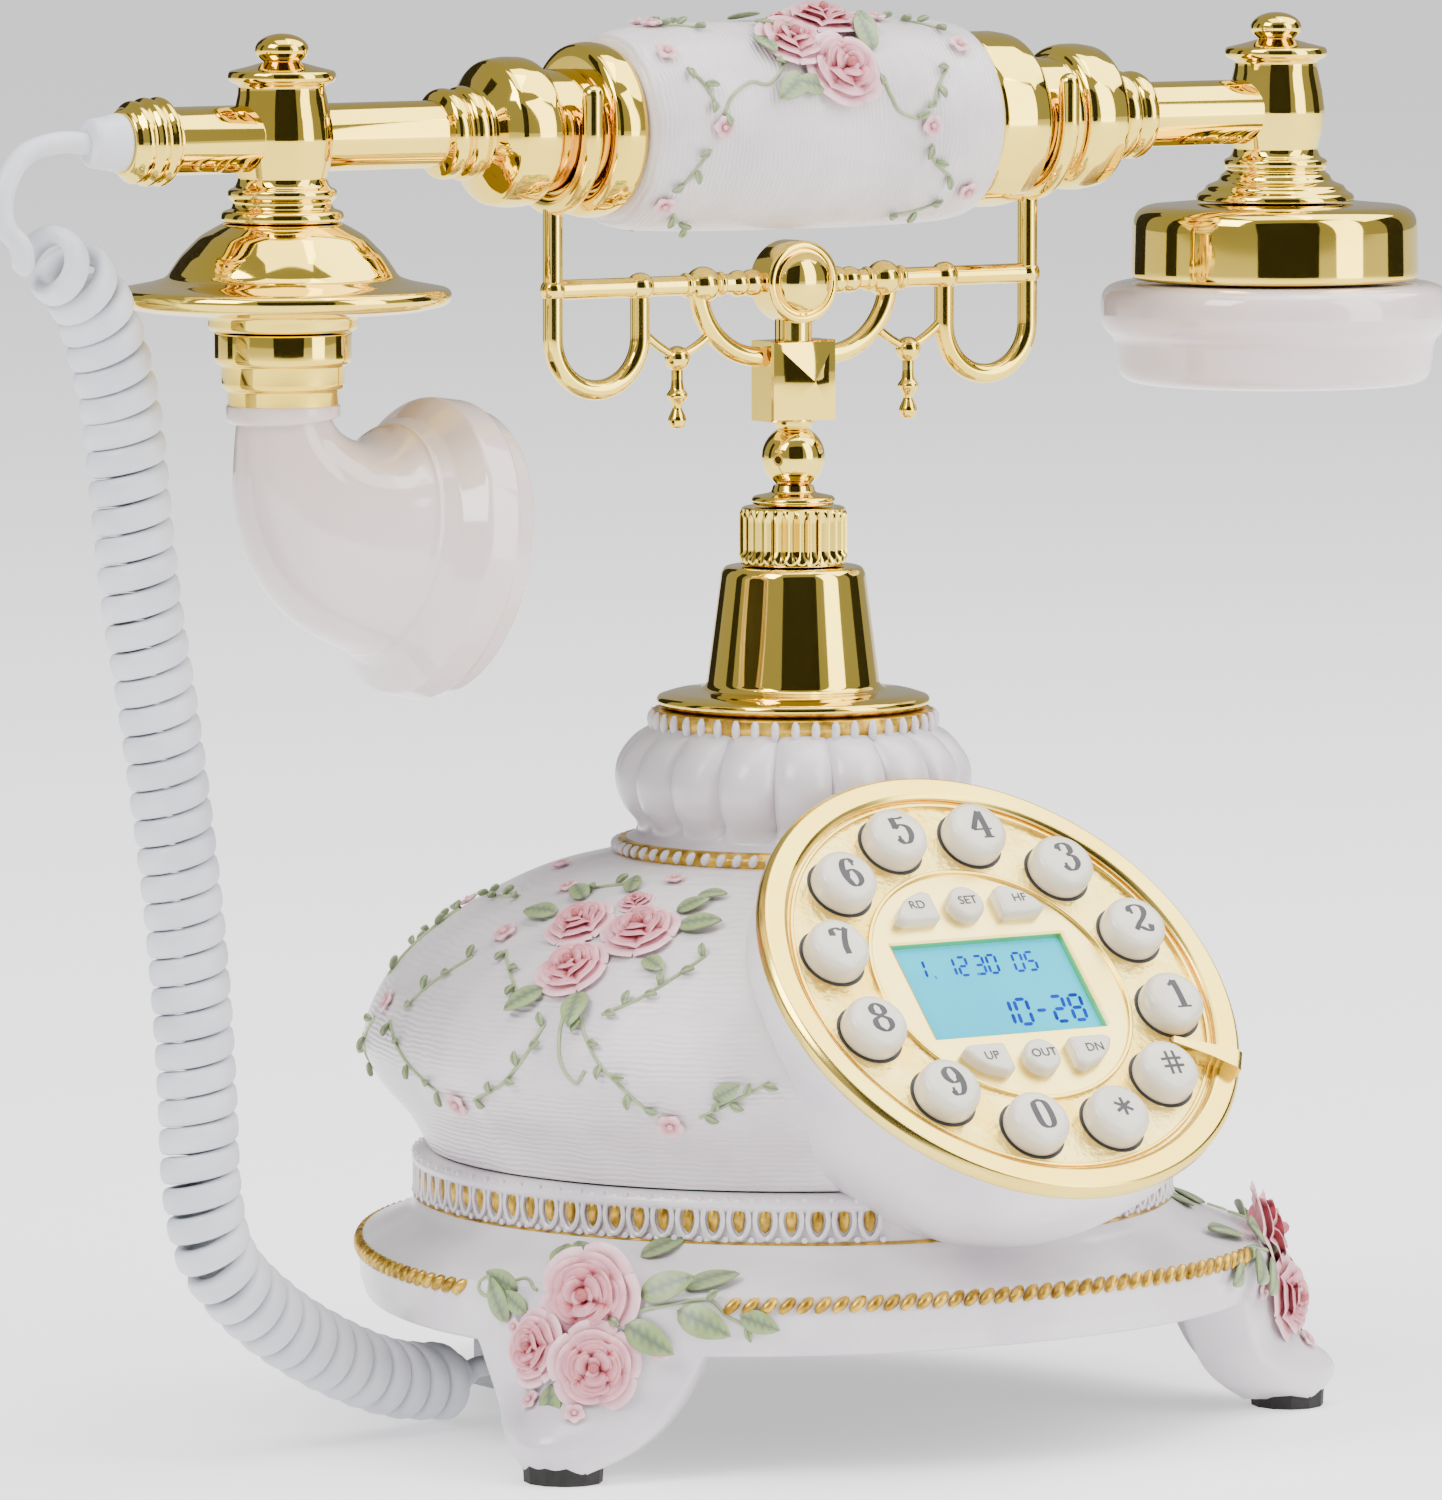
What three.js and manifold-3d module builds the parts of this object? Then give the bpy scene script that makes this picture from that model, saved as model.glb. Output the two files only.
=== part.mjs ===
// Ornate push-button cradle telephone. A cast resin base on three feet carries a tilted dial with
// domed keys and a display. A gilt column holds a cradle that presses the hook switch, and a
// gilt handset with a curved mouth horn and a hanging ear cap rests in the cradle's two forks.
// Millimetres, +Z up. The origin is on the table under the column's axis, +X runs along the
// handset from mouth to ear, and the dial faces -Y.
import * as THREE from "three";
import { mergeVertices } from "three/addons/utils/BufferGeometryUtils.js";
import Module from "manifold-3d";

const wasm = await Module();
wasm.setup();

// ---------- driving dimensions ----------
const GAP = 0.3; // between pieces that touch
const DEGREE = Math.PI / 180;

const FOOT_REACH = 90.5; // from the column's axis to the tip of each foot
const FOOT_ANGLES = { front_left: 210, front_right: 330, rear: 90 };
const PAD_HEIGHT = 3;
const PLINTH_BOTTOM = 20;
const PLINTH_TOP = 44.4;
const DOME_TOP = 93.1;

const DIAL_TILT = 46 * DEGREE; // the dial's face leans back from the vertical towards the top
const DIAL_RADIUS = 42.4;
const DIAL_CENTRE = new THREE.Vector3(0, DIAL_RADIUS * Math.cos(DIAL_TILT) - FOOT_REACH, 77.8);
const POD_RADIUS = 41.6;
const POD_DEPTH = 46; // semi-axis of the bowl behind the dial
const KEY_CIRCLE = 30;
const KEY_RADIUS = 5.3;
const FUNCTION_ROW = 15.6; // above and below the middle of the dial
const DISPLAY = { width: 33, height: 19 };

const CONE_BASE = 117;
const CRADLE_BAR = 187.1; // height of the cradle's crossbar
const FORK_X = 46.8; // each fork's distance from the column
const FORK_TOP = 219;
const WIRE = 1.6; // radius of the cradle's rods

const HANDSET_AXIS = 212.9;
const STEM_X = 97.8;
const ARM_END = 127.5;
const EAR_RADIUS = ARM_END - STEM_X;
const GRIP_HALF = 36.6;
const GROOVE_RADIUS = 10;

const COIL_RADIUS = 6.5; // outside of the curly cord
const CORD_RADIUS = 2.1;

// ---------- finishes ----------
const FINISHES = {
  resin: { color: 0xf2edee, roughness: 0.38, metalness: 0 },
  gold: { color: 0xf0c869, roughness: 0.12, metalness: 1 },
  gold_face: { color: 0xf3d27c, roughness: 0.34, metalness: 1 },
  white_gloss: { color: 0xefe3e1, roughness: 0.16, metalness: 0 },
  key: { color: 0xe9e2d4, roughness: 0.3, metalness: 0 },
  display: { color: 0x18e8ea, roughness: 0.15, metalness: 0 },
  rubber: { color: 0x1b1a19, roughness: 0.8, metalness: 0 },
  cord: { color: 0xe4e6ea, roughness: 0.5, metalness: 0 },
  board: { color: 0x2f6b3c, roughness: 0.5, metalness: 0 },
  steel: { color: 0xb4b6b8, roughness: 0.35, metalness: 1 },
  black_plastic: { color: 0x2a2a2c, roughness: 0.5, metalness: 0 },
};

// ---------- geometry helpers ----------
/** A closed geometry as a solid for joining and cutting. */
function solidOf(geometry) {
  const bare = geometry.index ? geometry.toNonIndexed() : geometry.clone();
  bare.deleteAttribute("normal");
  bare.deleteAttribute("uv");
  const merged = mergeVertices(bare, 1e-4);
  return new wasm.Manifold(
    new wasm.Mesh({
      numProp: 3,
      vertProperties: merged.attributes.position.array,
      triVerts: new Uint32Array(merged.index.array),
    }),
  );
}

/** The geometry of a solid. */
function geometryOf(solid) {
  const mesh = solid.getMesh();
  const corners = new Float32Array(mesh.numVert * 3);
  for (let i = 0; i < mesh.numVert; i++) {
    const start = i * mesh.numProp;
    corners.set(mesh.vertProperties.subarray(start, start + 3), i * 3);
  }
  const geometry = new THREE.BufferGeometry();
  geometry.setAttribute("position", new THREE.BufferAttribute(corners, 3));
  geometry.setIndex(new THREE.BufferAttribute(new Uint32Array(mesh.triVerts), 1));
  geometry.computeVertexNormals();
  return geometry;
}

/** All the geometries as one body. */
function joined(...geometries) {
  return geometryOf(geometries.map(solidOf).reduce((all, next) => all.add(next)));
}

/** A geometry with the others taken out of it. */
function cut(geometry, ...tools) {
  return geometryOf(tools.map(solidOf).reduce((left, tool) => left.subtract(tool), solidOf(geometry)));
}

/** A turned piece about Z. The profile's [radius, z] points go up the outside. */
function turned(profile, segments) {
  const points = profile.map(([radius, z]) => new THREE.Vector2(radius, z));
  return new THREE.LatheGeometry(points, segments).rotateX(Math.PI / 2);
}

/** A turned tube: up the outside profile, then down a straight bore. */
function turnedTube(profile, bore, segments) {
  const bottom = profile[0][1];
  const top = profile[profile.length - 1][1];
  return turned([...profile, [bore, top], [bore, bottom], profile[0]], segments);
}

/** A plain round bar about Z between two heights. */
function bar(radius, bottom, top, segments) {
  return turned([[0, bottom], [radius, bottom], [radius, top], [0, top]], segments);
}

/** Turns a piece made about Z so that it lies along the handset. */
function alongHandset(geometry) {
  return geometry.rotateY(Math.PI / 2).translate(0, 0, HANDSET_AXIS);
}

/** A regular polygon as an extrusion's section. */
function polygon(radius, sides) {
  const corners = Array.from({ length: sides }, (_, i) => {
    const angle = (i / sides) * 2 * Math.PI;
    return new THREE.Vector2(radius * Math.cos(angle), radius * Math.sin(angle));
  });
  return new THREE.Shape(corners);
}

/** A round rod along a smooth curve through the points. */
function rod(points, radius, sides, steps) {
  const path = new THREE.CatmullRomCurve3(points.map((p) => new THREE.Vector3(...p)), false, "centripetal");
  return new THREE.ExtrudeGeometry(polygon(radius, sides), { steps, extrudePath: path });
}

/** A straight round rod between two points. */
function pin(from, to, radius, sides) {
  const path = new THREE.LineCurve3(new THREE.Vector3(...from), new THREE.Vector3(...to));
  return new THREE.ExtrudeGeometry(polygon(radius, sides), { steps: 1, extrudePath: path });
}

/** A ball at a place. */
function ball(radius, [x, y, z], segments = 10) {
  return new THREE.SphereGeometry(radius, segments, segments - 4).rotateX(Math.PI / 2).translate(x, y, z);
}

/** A box from its middle and size. */
function block([x, y, z], [width, depth, height]) {
  return new THREE.BoxGeometry(width, depth, height).translate(x, y, z);
}

/** Points [x, z] of an arc in the XZ plane, with angles in degrees. */
function arc([x, z], radius, from, to, count) {
  return Array.from({ length: count + 1 }, (_, i) => {
    const angle = (from + ((to - from) * i) / count) * DEGREE;
    return [x + radius * Math.cos(angle), z + radius * Math.sin(angle)];
  });
}

/** A closed skin through rings of equal counts, each counter-clockwise seen from the next. */
function lofted(rings) {
  const count = rings[0].length;
  const corners = rings.flat().map((p) => [p.x, p.y, p.z]);
  const middle = (ring) => ring.reduce((sum, p) => sum.add(p), new THREE.Vector3()).divideScalar(count);
  const first = corners.push(middle(rings[0]).toArray()) - 1;
  const last = corners.push(middle(rings[rings.length - 1]).toArray()) - 1;
  const faces = [];
  const end = (rings.length - 1) * count;
  for (let j = 0; j < count; j++) {
    const k = (j + 1) % count;
    for (let row = 0; row < end; row += count) {
      faces.push(row + j, row + k, row + count + k, row + j, row + count + k, row + count + j);
    }
    faces.push(first, k, j, last, end + j, end + k);
  }
  const geometry = new THREE.BufferGeometry();
  geometry.setAttribute("position", new THREE.Float32BufferAttribute(corners.flat(), 3));
  geometry.setIndex(faces);
  return geometry;
}

/** Adds one named piece to a group. */
function add(group, name, geometry, finish) {
  const mesh = new THREE.Mesh(geometry, new THREE.MeshStandardMaterial(FINISHES[finish]));
  mesh.name = name;
  group.add(mesh);
}

// ---------- base: plinth, feet, dome, bulb ----------
/** A ring round the plinth, drawn out a little towards each foot and more at its toe. */
function plinthRing(z, edge, lobe, toe, count = 36) {
  return Array.from({ length: count }, (_, i) => {
    const angle = (i / count) * 2 * Math.PI;
    const towardsFoot = (1 + Math.cos(3 * (angle - Math.PI / 2))) / 2;
    const radius = edge + lobe * towardsFoot + toe * towardsFoot ** 6;
    return new THREE.Vector3(radius * Math.cos(angle), radius * Math.sin(angle), z);
  });
}

/** An oval ring of a foot between two radii, turned to the foot's angle. */
function footRing(angle, z, inner, outer, halfWidth, count = 16) {
  const axis = new THREE.Vector3(0, 0, 1);
  return Array.from({ length: count }, (_, i) => {
    const turn = (i / count) * 2 * Math.PI;
    const along = (inner + outer) / 2 + ((outer - inner) / 2) * Math.cos(turn);
    return new THREE.Vector3(along, halfWidth * Math.sin(turn), z).applyAxisAngle(axis, angle);
  });
}

/** The space that the dial, its keys and the bowl behind it take up, in the dial's own frame. */
function dialSpace(clearance) {
  const bowl = podProfile(POD_RADIUS + clearance, 40);
  const open = DIAL_RADIUS + clearance;
  const front = 14;
  return turned([[0, bowl[0][1]], ...bowl, [open, -3.5], [open, front], [0, front]], 40);
}

/** Points up the bowl behind the dial: an ellipse from the given depth to just under the rim. */
function podProfile(radius, depth) {
  const count = 7;
  return Array.from({ length: count + 1 }, (_, i) => {
    const below = depth + ((3.5 - depth) * i) / count;
    return [radius * Math.sqrt(1 - (below / POD_DEPTH) ** 2), -below];
  });
}

/** Moves a geometry from the dial's frame, with Z out of its face, to its place on the base. */
function onDial(geometry) {
  return geometry.rotateX(DIAL_TILT).translate(...DIAL_CENTRE.toArray());
}

const BULB_PROFILE = [
  [27, 93.5], [29.2, 94.2], [28.4, 95.6], [25.5, 96.8], [26.6, 98.6], [28.6, 101.2],
  [29.1, 104.6], [28.3, 108.6], [25.8, 112.2], [22.4, 114.4], [23.5, 115.6], [22.9, 116.6],
];

function plinth() {
  const outside = lofted([
    plinthRing(PLINTH_BOTTOM, 70.6, 6.1, 6),
    plinthRing(23, 71.6, 6.1, 5.6),
    plinthRing(27, 71.9, 6.1, 4),
    plinthRing(29.8, 71.2, 6.1, 2.5),
    plinthRing(32, 66.8, 4, 1),
    plinthRing(34.2, 63.4, 2, 0),
    plinthRing(36.8, 62.2, 0, 0),
    plinthRing(41.8, 62.4, 0, 0),
    plinthRing(PLINTH_TOP, 60.2, 0, 0),
  ]);
  const hollow = lofted([
    plinthRing(PLINTH_BOTTOM - 1, 65.5, 5, 2),
    plinthRing(27.5, 65.5, 5, 2),
    plinthRing(33, 57, 0, 0),
    plinthRing(PLINTH_TOP + 1, 56, 0, 0),
  ]);
  return cut(outside, hollow, onDial(dialSpace(GAP)));
}

function foot(angle) {
  return lofted([
    footRing(angle, PAD_HEIGHT + GAP, 75.5, FOOT_REACH - 0.9, 7.6),
    footRing(angle, 6, 74.2, FOOT_REACH, 8.6),
    footRing(angle, 9.5, 72.8, FOOT_REACH - 0.7, 9.8),
    footRing(angle, 13.5, 70.5, 87.6, 12.6),
    footRing(angle, 17, 68, 85, 17),
    footRing(angle, PLINTH_BOTTOM - GAP, 66, 82.8, 22),
  ]);
}

function footPad(angle) {
  return lofted([
    footRing(angle, 0, 76.4, 88.4, 6.4, 12),
    footRing(angle, PAD_HEIGHT, 76.2, 88.6, 6.6, 12),
  ]);
}

function bottomCover() {
  return lofted([plinthRing(20.4, 64.8, 4.8, 1.6, 30), plinthRing(22.8, 64.8, 4.8, 1.6, 30)]);
}

function dome() {
  const outside = [
    [60.4, PLINTH_TOP + GAP], [63.5, 50.2], [68.5, 56], [71, 62.5], [68.6, 70],
    [63.5, 76.6], [53.6, 84], [42.2, 89.8], [29.5, DOME_TOP],
  ];
  const inside = [
    [15.3, DOME_TOP], [15.3, 89], [29, 88.9], [40.5, 85.8], [50.8, 80.4],
    [60.2, 73.2], [66.6, 62.5], [59.8, 52.5], [56.6, PLINTH_TOP + GAP],
  ];
  const shell = turned([...outside, ...inside, outside[0]], 40);
  return cut(shell, onDial(dialSpace(GAP)));
}

function bulbCollar() {
  return turnedTube(BULB_PROFILE, 10, 28);
}

function dialPod() {
  const depth = 34;
  const wall = 3.2;
  const outside = podProfile(POD_RADIUS, depth);
  const inside = podProfile(POD_RADIUS - wall, depth).reverse();
  const shell = onDial(turned([...outside, ...inside, outside[0]], 36));
  const [bottom, top] = [BULB_PROFILE[0][1] - GAP, BULB_PROFILE[BULB_PROFILE.length - 1][1]];
  const grown = BULB_PROFILE.map(([radius, z]) => [radius + 2 * GAP, z]);
  const bulbSpace = turned([[0, bottom], [29, bottom], ...grown, [0, top]], 28);
  return cut(shell, bulbSpace);
}

// ---------- dial ----------
/** Places [x, y] of the digit keys, anticlockwise from the first. */
const DIGIT_KEYS = ["1", "2", "3", "4", "5", "6", "7", "8", "9", "0", "star", "hash"].map((name, i) => {
  const angle = (30 * i - 15) * DEGREE;
  return { name, x: KEY_CIRCLE * Math.cos(angle), y: KEY_CIRCLE * Math.sin(angle) };
});

const FUNCTION_KEYS = [1, -1].flatMap((row) =>
  [-1, 0, 1].map((column) => ({
    name: (row > 0 ? "upper" : "lower") + "_" + ["left", "middle", "right"][column + 1],
    row,
    column,
  })),
);

/** Outline of a function key: round in the middle, and a rounded wedge at the sides. */
function functionOutline({ row, column }, clearance, Kind = THREE.Shape) {
  const corners =
    column === 0
      ? Array.from({ length: 10 }, (_, i) => {
          const angle = (i / 10) * 2 * Math.PI;
          const radius = 3.2 + clearance;
          return [radius * Math.cos(angle), FUNCTION_ROW + radius * Math.sin(angle)];
        })
      : [[6.2, 12.6], [13.6, 12.6], [14.4, 13.6], [11.6, 16.9], [7, 18.6], [6.2, 17.8]].map(([x, y]) => {
          const [dx, dy] = [x - 9.6, y - 15.2];
          const grow = 1 + clearance / Math.hypot(dx, dy);
          return [column * (9.6 + dx * grow), 15.2 + dy * grow];
        });
  const ordered = column < 0 !== row < 0 ? [...corners].reverse() : corners;
  return new Kind(ordered.map(([x, y]) => new THREE.Vector2(x, row * y)));
}

function digitKey({ x, y }) {
  const profile = [
    [0, -6], [KEY_RADIUS, -6], [KEY_RADIUS, 1.4], [KEY_RADIUS - 1.2, 2.7], [0, 3.3],
  ];
  return turned(profile, 12).translate(x, y, 0);
}

function functionKey(key) {
  const height = 6.2;
  return new THREE.ExtrudeGeometry(functionOutline(key, 0), { depth: height, bevelEnabled: false }).translate(
    0, 0, 0.6 - height,
  );
}

function dialPlate() {
  const face = polygon(DIAL_RADIUS - 4.6, 36);
  for (const { x, y } of DIGIT_KEYS) {
    const hole = polygon(KEY_RADIUS + 0.5, 12).getPoints().map((p) => new THREE.Vector2(p.x + x, p.y + y));
    face.holes.push(new THREE.Path(hole.reverse()));
  }
  for (const key of FUNCTION_KEYS) {
    face.holes.push(functionOutline(key, 0.5, THREE.Path));
  }
  const [w, h] = [DISPLAY.width / 2 + GAP, DISPLAY.height / 2 + GAP];
  face.holes.push(new THREE.Path([[-w, -h], [-w, h], [w, h], [w, -h]].map(([x, y]) => new THREE.Vector2(x, y))));
  return new THREE.ExtrudeGeometry(face, { depth: 1.8, bevelEnabled: false }).translate(0, 0, -3.2);
}

/** The rim with the finger stop, a wedge that points inwards between the last key and the first. */
function dialRim() {
  const ring = turned(
    [[DIAL_RADIUS - 0.6, -3.2], [DIAL_RADIUS, -2.4], [DIAL_RADIUS, -1.2], [DIAL_RADIUS - 1.2, 0],
     [38.6, -0.2], [38.1, -1], [38.1, -3.2], [DIAL_RADIUS - 0.6, -3.2]],
    40,
  );
  const wedge = new THREE.Shape([[29.5, -0.5], [41.5, -3.2], [41.5, 3.2], [29.5, 0.5]].map((p) => new THREE.Vector2(...p)));
  const stop = new THREE.ExtrudeGeometry(wedge, { depth: 3.2, bevelEnabled: false });
  return joined(ring, stop.translate(0, 0, -1.1).rotateZ(-30 * DEGREE));
}

// ---------- column and cradle ----------
function columnCone() {
  const profile = [
    [21.9, CONE_BASE], [22.7, 117.6], [22.3, 118.6], [15.4, 119], [14.1, 120], [11.8, 140.3],
  ];
  return turnedTube(profile, 3, 28);
}

/** The gilt collar, a cylinder with upright flutes. */
function flutedCollar() {
  const flutes = 18;
  const ring = (z, radius, depth) =>
    Array.from({ length: 2 * flutes }, (_, i) => {
      const angle = (i / flutes) * Math.PI;
      const r = radius - (i % 2) * depth;
      return new THREE.Vector3(r * Math.cos(angle), r * Math.sin(angle), z);
    });
  const body = lofted([ring(140.6, 8.4, 0), ring(141.6, 8.8, 0), ring(142.2, 8.6, 0.7), ring(149, 8.6, 0.7), ring(150.2, 8.4, 0)]);
  return cut(body, bar(3, 140, 151, 16));
}

/** The sliding post: rod, disc, ball, square block with a faceted front, and the round boss. */
function cradlePost() {
  const shaft = turned(
    [[0, 95], [2.6, 95], [2.6, 112], [5.2, 112], [5.2, 113.2], [2.6, 113.2], [2.6, 150.6], [6.9, 150.6],
     [6.9, 151.8], [3.4, 152.4], [3.3, 153.6], [4.8, 156], [5.2, 158.2], [4.8, 160.4], [3.3, 162.8],
     [3.3, 165], [0, 165]],
    16,
  );
  const [width, depth, height] = [12.6, 6.7, 13.2];
  const middle = 170.9;
  const facets = new THREE.CylinderGeometry(0, width / Math.SQRT2, 3.4, 4, 1)
    .rotateY(45 * DEGREE)
    .rotateX(Math.PI / 2)
    .scale(1, -1, height / width);
  facets.setIndex(Array.from(facets.index.array).reverse());
  const front = facets.translate(0, -depth / 2 - 1.6, middle);
  const neck = bar(3.1, 177, 182, 12).toNonIndexed();
  const disc = turned([[0, -3.2], [6.85, -3.2], [6.85, 3.2], [5.2, 3.2], [4.6, 4.2], [2.6, 5.4], [0, 5.8]], 20)
    .rotateX(Math.PI / 2)
    .translate(0, 0, CRADLE_BAR);
  const bore = pin([-8, 0, CRADLE_BAR], [8, 0, CRADLE_BAR], WIRE + GAP, 8);
  return cut(joined(shaft, block([0, 0, middle], [width, depth, height]), front, neck, disc), bore);
}

/** One side of the cradle: fork, upright with its looped end, curved brace, beads and pendant. */
function cradleSide(side) {
  const flat = ([x, z]) => [side * x, 0, z];
  const saddle = GROOVE_RADIUS + GAP + 1.7;
  const fork = [
    [side * FORK_X, -saddle, FORK_TOP],
    ...arc([0, HANDSET_AXIS], saddle, 180, 360, 8).map(([y, z]) => [side * FORK_X, y, z]),
    [side * FORK_X, saddle, FORK_TOP],
  ];
  const inner = 30;
  const bend = (FORK_X - inner) / 2;
  const loop = [
    [FORK_X, HANDSET_AXIS - saddle], [FORK_X, 190],
    ...arc([FORK_X - bend, 179], bend, 0, -180, 6), [inner, CRADLE_BAR],
  ].map(flat);
  const brace = arc([6.6, CRADLE_BAR], 12.2, -8, -88, 5).map(flat);
  const pendantX = 22.8;
  const bead = (x, radius) => ball(radius, [side * x, 0, CRADLE_BAR]);
  const drop = turned(
    [[0, 164], [1.4, 164.8], [1.6, 165.8], [0.8, 167], [1.9, 168.6], [1.7, 169.6], [0.9, 170.4], [0.9, 174], [0, 174]],
    8,
  ).translate(side * pendantX, 0, 0);
  return [
    rod(fork, 1.7, 8, 18),
    rod(loop, WIRE, 8, 18),
    rod(brace, WIRE, 8, 6),
    pin(flat([15.5, 179]), flat([pendantX, 175.2]), 0.8, 6),
    pin(flat([inner, 179]), flat([pendantX, 175.2]), 0.8, 6),
    ball(2.1, [side * pendantX, 0, 175.2]),
    drop,
    bead(17.8, 2.8),
    bead(inner, 2.4),
    bead(FORK_X, 2.2),
  ];
}

function cradleYoke() {
  const crossbar = pin([-FORK_X, 0, CRADLE_BAR], [FORK_X, 0, CRADLE_BAR], WIRE, 8);
  return joined(crossbar, ...cradleSide(1), ...cradleSide(-1));
}

/** The hook switch's return spring round the post's rod. */
function plungerSpring() {
  const [turns, steps, radius] = [4, 40, 4.2];
  const points = Array.from({ length: steps + 1 }, (_, i) => {
    const angle = (i / steps) * turns * 2 * Math.PI;
    return [radius * Math.cos(angle), radius * Math.sin(angle), 100.6 + (10.6 * i) / steps];
  });
  return rod(points, 0.5, 5, steps);
}

function hookSwitch() {
  const body = joined(block([0, 0, 92.7], [14, 12, 14]), block([0, 0, 85.6], [34, 18, 1.8]));
  return cut(body, bar(3, 94, 101, 12));
}

// ---------- handset ----------
/** A gilt arm from the grip's groove to its outer end, with its rings, about Z. */
function armProfile(end) {
  return [
    [GROOVE_RADIUS, 43.3], [GROOVE_RADIUS, 51.6], [11.4, 52.8], [12, 56.4], [11.4, 60], [9.2, 61.2],
    [6.4, 62.4], [7.5, 63.4], [7.5, 65], [6.4, 65.8], [7.3, 66.8], [7.3, 68.6], [5.45, 69.4], ...end,
  ];
}

function armLeft() {
  const rings = [[5.45, 120.8], [6.6, 121.6], [6.9, 123.4], [6, 124.6], [6.5, 125.8], [5.8, ARM_END]];
  return alongHandset(turnedTube(armProfile(rings), 3.3, 16).rotateX(Math.PI));
}

function armRight() {
  return alongHandset(turnedTube(armProfile([[5.45, STEM_X + 5]]), 3.3, 16));
}

/** The upright tee over each end: a waisted socket for the arm, with a flange and a knob. */
function stem(side, lower) {
  const profile = [
    [0, lower[0][1]], ...lower, [8.75, 203.4], [8.75, 204.8], [7, 205.2], [8.1, 209.4], [8.4, 212.9],
    [8.1, 216.4], [7, 221.4], [8.75, 222], [8.75, 223.8], [3.2, 224.4], [3.4, 225.4], [4.5, 227.2],
    [3.2, 229.1], [0, 229.5],
  ];
  const reach = side < 0 ? [-STEM_X - 12, -STEM_X + 12] : [STEM_X - 12, STEM_X + 5 + GAP];
  const socket = pin([reach[0], 0, HANDSET_AXIS], [reach[1], 0, HANDSET_AXIS], 5.45 + GAP, 16);
  return cut(turned(profile, 16).translate(side * STEM_X, 0, 0), socket);
}

function mouthSaucer() {
  const profile = [
    [12, 181.3], [12, 184], [22, 184.6], [25.2, 185.4], [25.7, 187], [25.2, 188.4], [20.5, 189.2],
    [18.2, 190], [17.2, 192.4], [14, 195.8], [9.9, 198],
  ];
  return turnedTube(profile, 3, 28).translate(-STEM_X, 0, 1);
}

function hornCollar() {
  const profile = [[8.8, 169.6], [8.8, 173], [9.85, 173.2], [9.85, 177], [11, 177.2], [11, 182]];
  return turnedTube(profile, 3, 20).translate(-STEM_X, 0, 0);
}

const HORN_TOP = 169.3;
const HORN_BEND = 21.6; // radius of the elbow's centre line
const HORN_TURN = 79; // degrees, from straight down to just below level
const BELL_LENGTH = 15.4;

/** Places and headings along the horn's centre line: the elbow, then the straight bell. */
function hornStations(rows) {
  return rows.map(([turn, beyond, radius]) => {
    const angle = turn * DEGREE;
    const heading = new THREE.Vector3(Math.sin(angle), 0, -Math.cos(angle));
    const place = new THREE.Vector3(
      HORN_BEND * (1 - Math.cos(angle)) - STEM_X, 0, HORN_TOP - HORN_BEND * Math.sin(angle),
    ).addScaledVector(heading, beyond);
    return { place, heading, radius };
  });
}

/** Round rings square to the centre line at each station. */
function hornRings(stations, count = 20) {
  return stations.map(({ place, heading, radius }) => {
    const across = new THREE.Vector3(0, 1, 0);
    const up = new THREE.Vector3().crossVectors(heading, across);
    return Array.from({ length: count }, (_, i) => {
      const angle = (i / count) * 2 * Math.PI;
      return place.clone().addScaledVector(across, radius * Math.cos(angle)).addScaledVector(up, radius * Math.sin(angle));
    });
  });
}

function mouthHorn() {
  const outside = [
    [0, 0, 7.9], [15, 0, 9.6], [30, 0, 12.2], [45, 0, 15], [60, 0, 17.5], [HORN_TURN, 0, 19.2],
    [HORN_TURN, 5, 20.6], [HORN_TURN, 6, 24], [HORN_TURN, 14.4, 24.5], [HORN_TURN, BELL_LENGTH, 23.8],
  ];
  const inside = [
    [0, -1, 5.6], [15, 0, 7.4], [30, 0, 10], [45, 0, 12.8], [60, 0, 15.2], [HORN_TURN, 0, 17],
    [HORN_TURN, 6, 20], [HORN_TURN, BELL_LENGTH + 1, 21.4],
  ];
  return cut(lofted(hornRings(hornStations(outside))), lofted(hornRings(hornStations(inside))));
}

function microphone() {
  return lofted(hornRings(hornStations([[HORN_TURN, 0.5, 16.4], [HORN_TURN, 3.4, 17.4]]), 16));
}

function earShell() {
  const profile = [
    [24.1, 184.4], [24.1, 194.8], [22.6, 196.9], [14.6, 197.4], [3, 197.4], [3, 195.4], [21.8, 194.4],
    [22.1, 184.4], [24.1, 184.4],
  ];
  return turned(profile, 28).translate(STEM_X, 0, 0);
}

function earCap() {
  const profile = [
    [0, 168.8], [14, 168], [21, 166.8], [25.4, 167.6], [26.6, 169.8], [26.6, 173.4], [28.8, 175.6],
    [EAR_RADIUS, 179.4], [28.8, 182.8], [26.4, 184], [22, 184], [23.4, 180], [23.4, 171.6], [0, 171.6],
  ];
  return turned(profile, 28).translate(STEM_X, 0, 0);
}

function gripBarrel() {
  const outside = [
    [14.4, -GRIP_HALF], [16.2, -34.6], [16.9, -24], [17.2, 0], [16.9, 24], [16.2, 34.6], [14.4, GRIP_HALF],
  ];
  return alongHandset(turnedTube(outside, 12, 24));
}

function gripRing(side) {
  const profile = [[12.8, GRIP_HALF + GAP], [13.4, 37.6], [13.4, 42.4], [12.6, 43]];
  const ring = turnedTube(profile, 3.3, 24);
  return alongHandset(side < 0 ? ring.rotateX(Math.PI) : ring);
}

// ---------- curly cord ----------
/** The plain tail from the relief sleeve at the handset's end to the top of the coil. */
const TAIL_ROUTE = [
  [-133.5, 0, 212.9], [-139, 0, 213.2], [-145.5, -0.8, 211.4], [-149.5, -1.8, 206.4], [-150, -2.6, 200.6],
  [-146, -3, 196],
];
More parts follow.
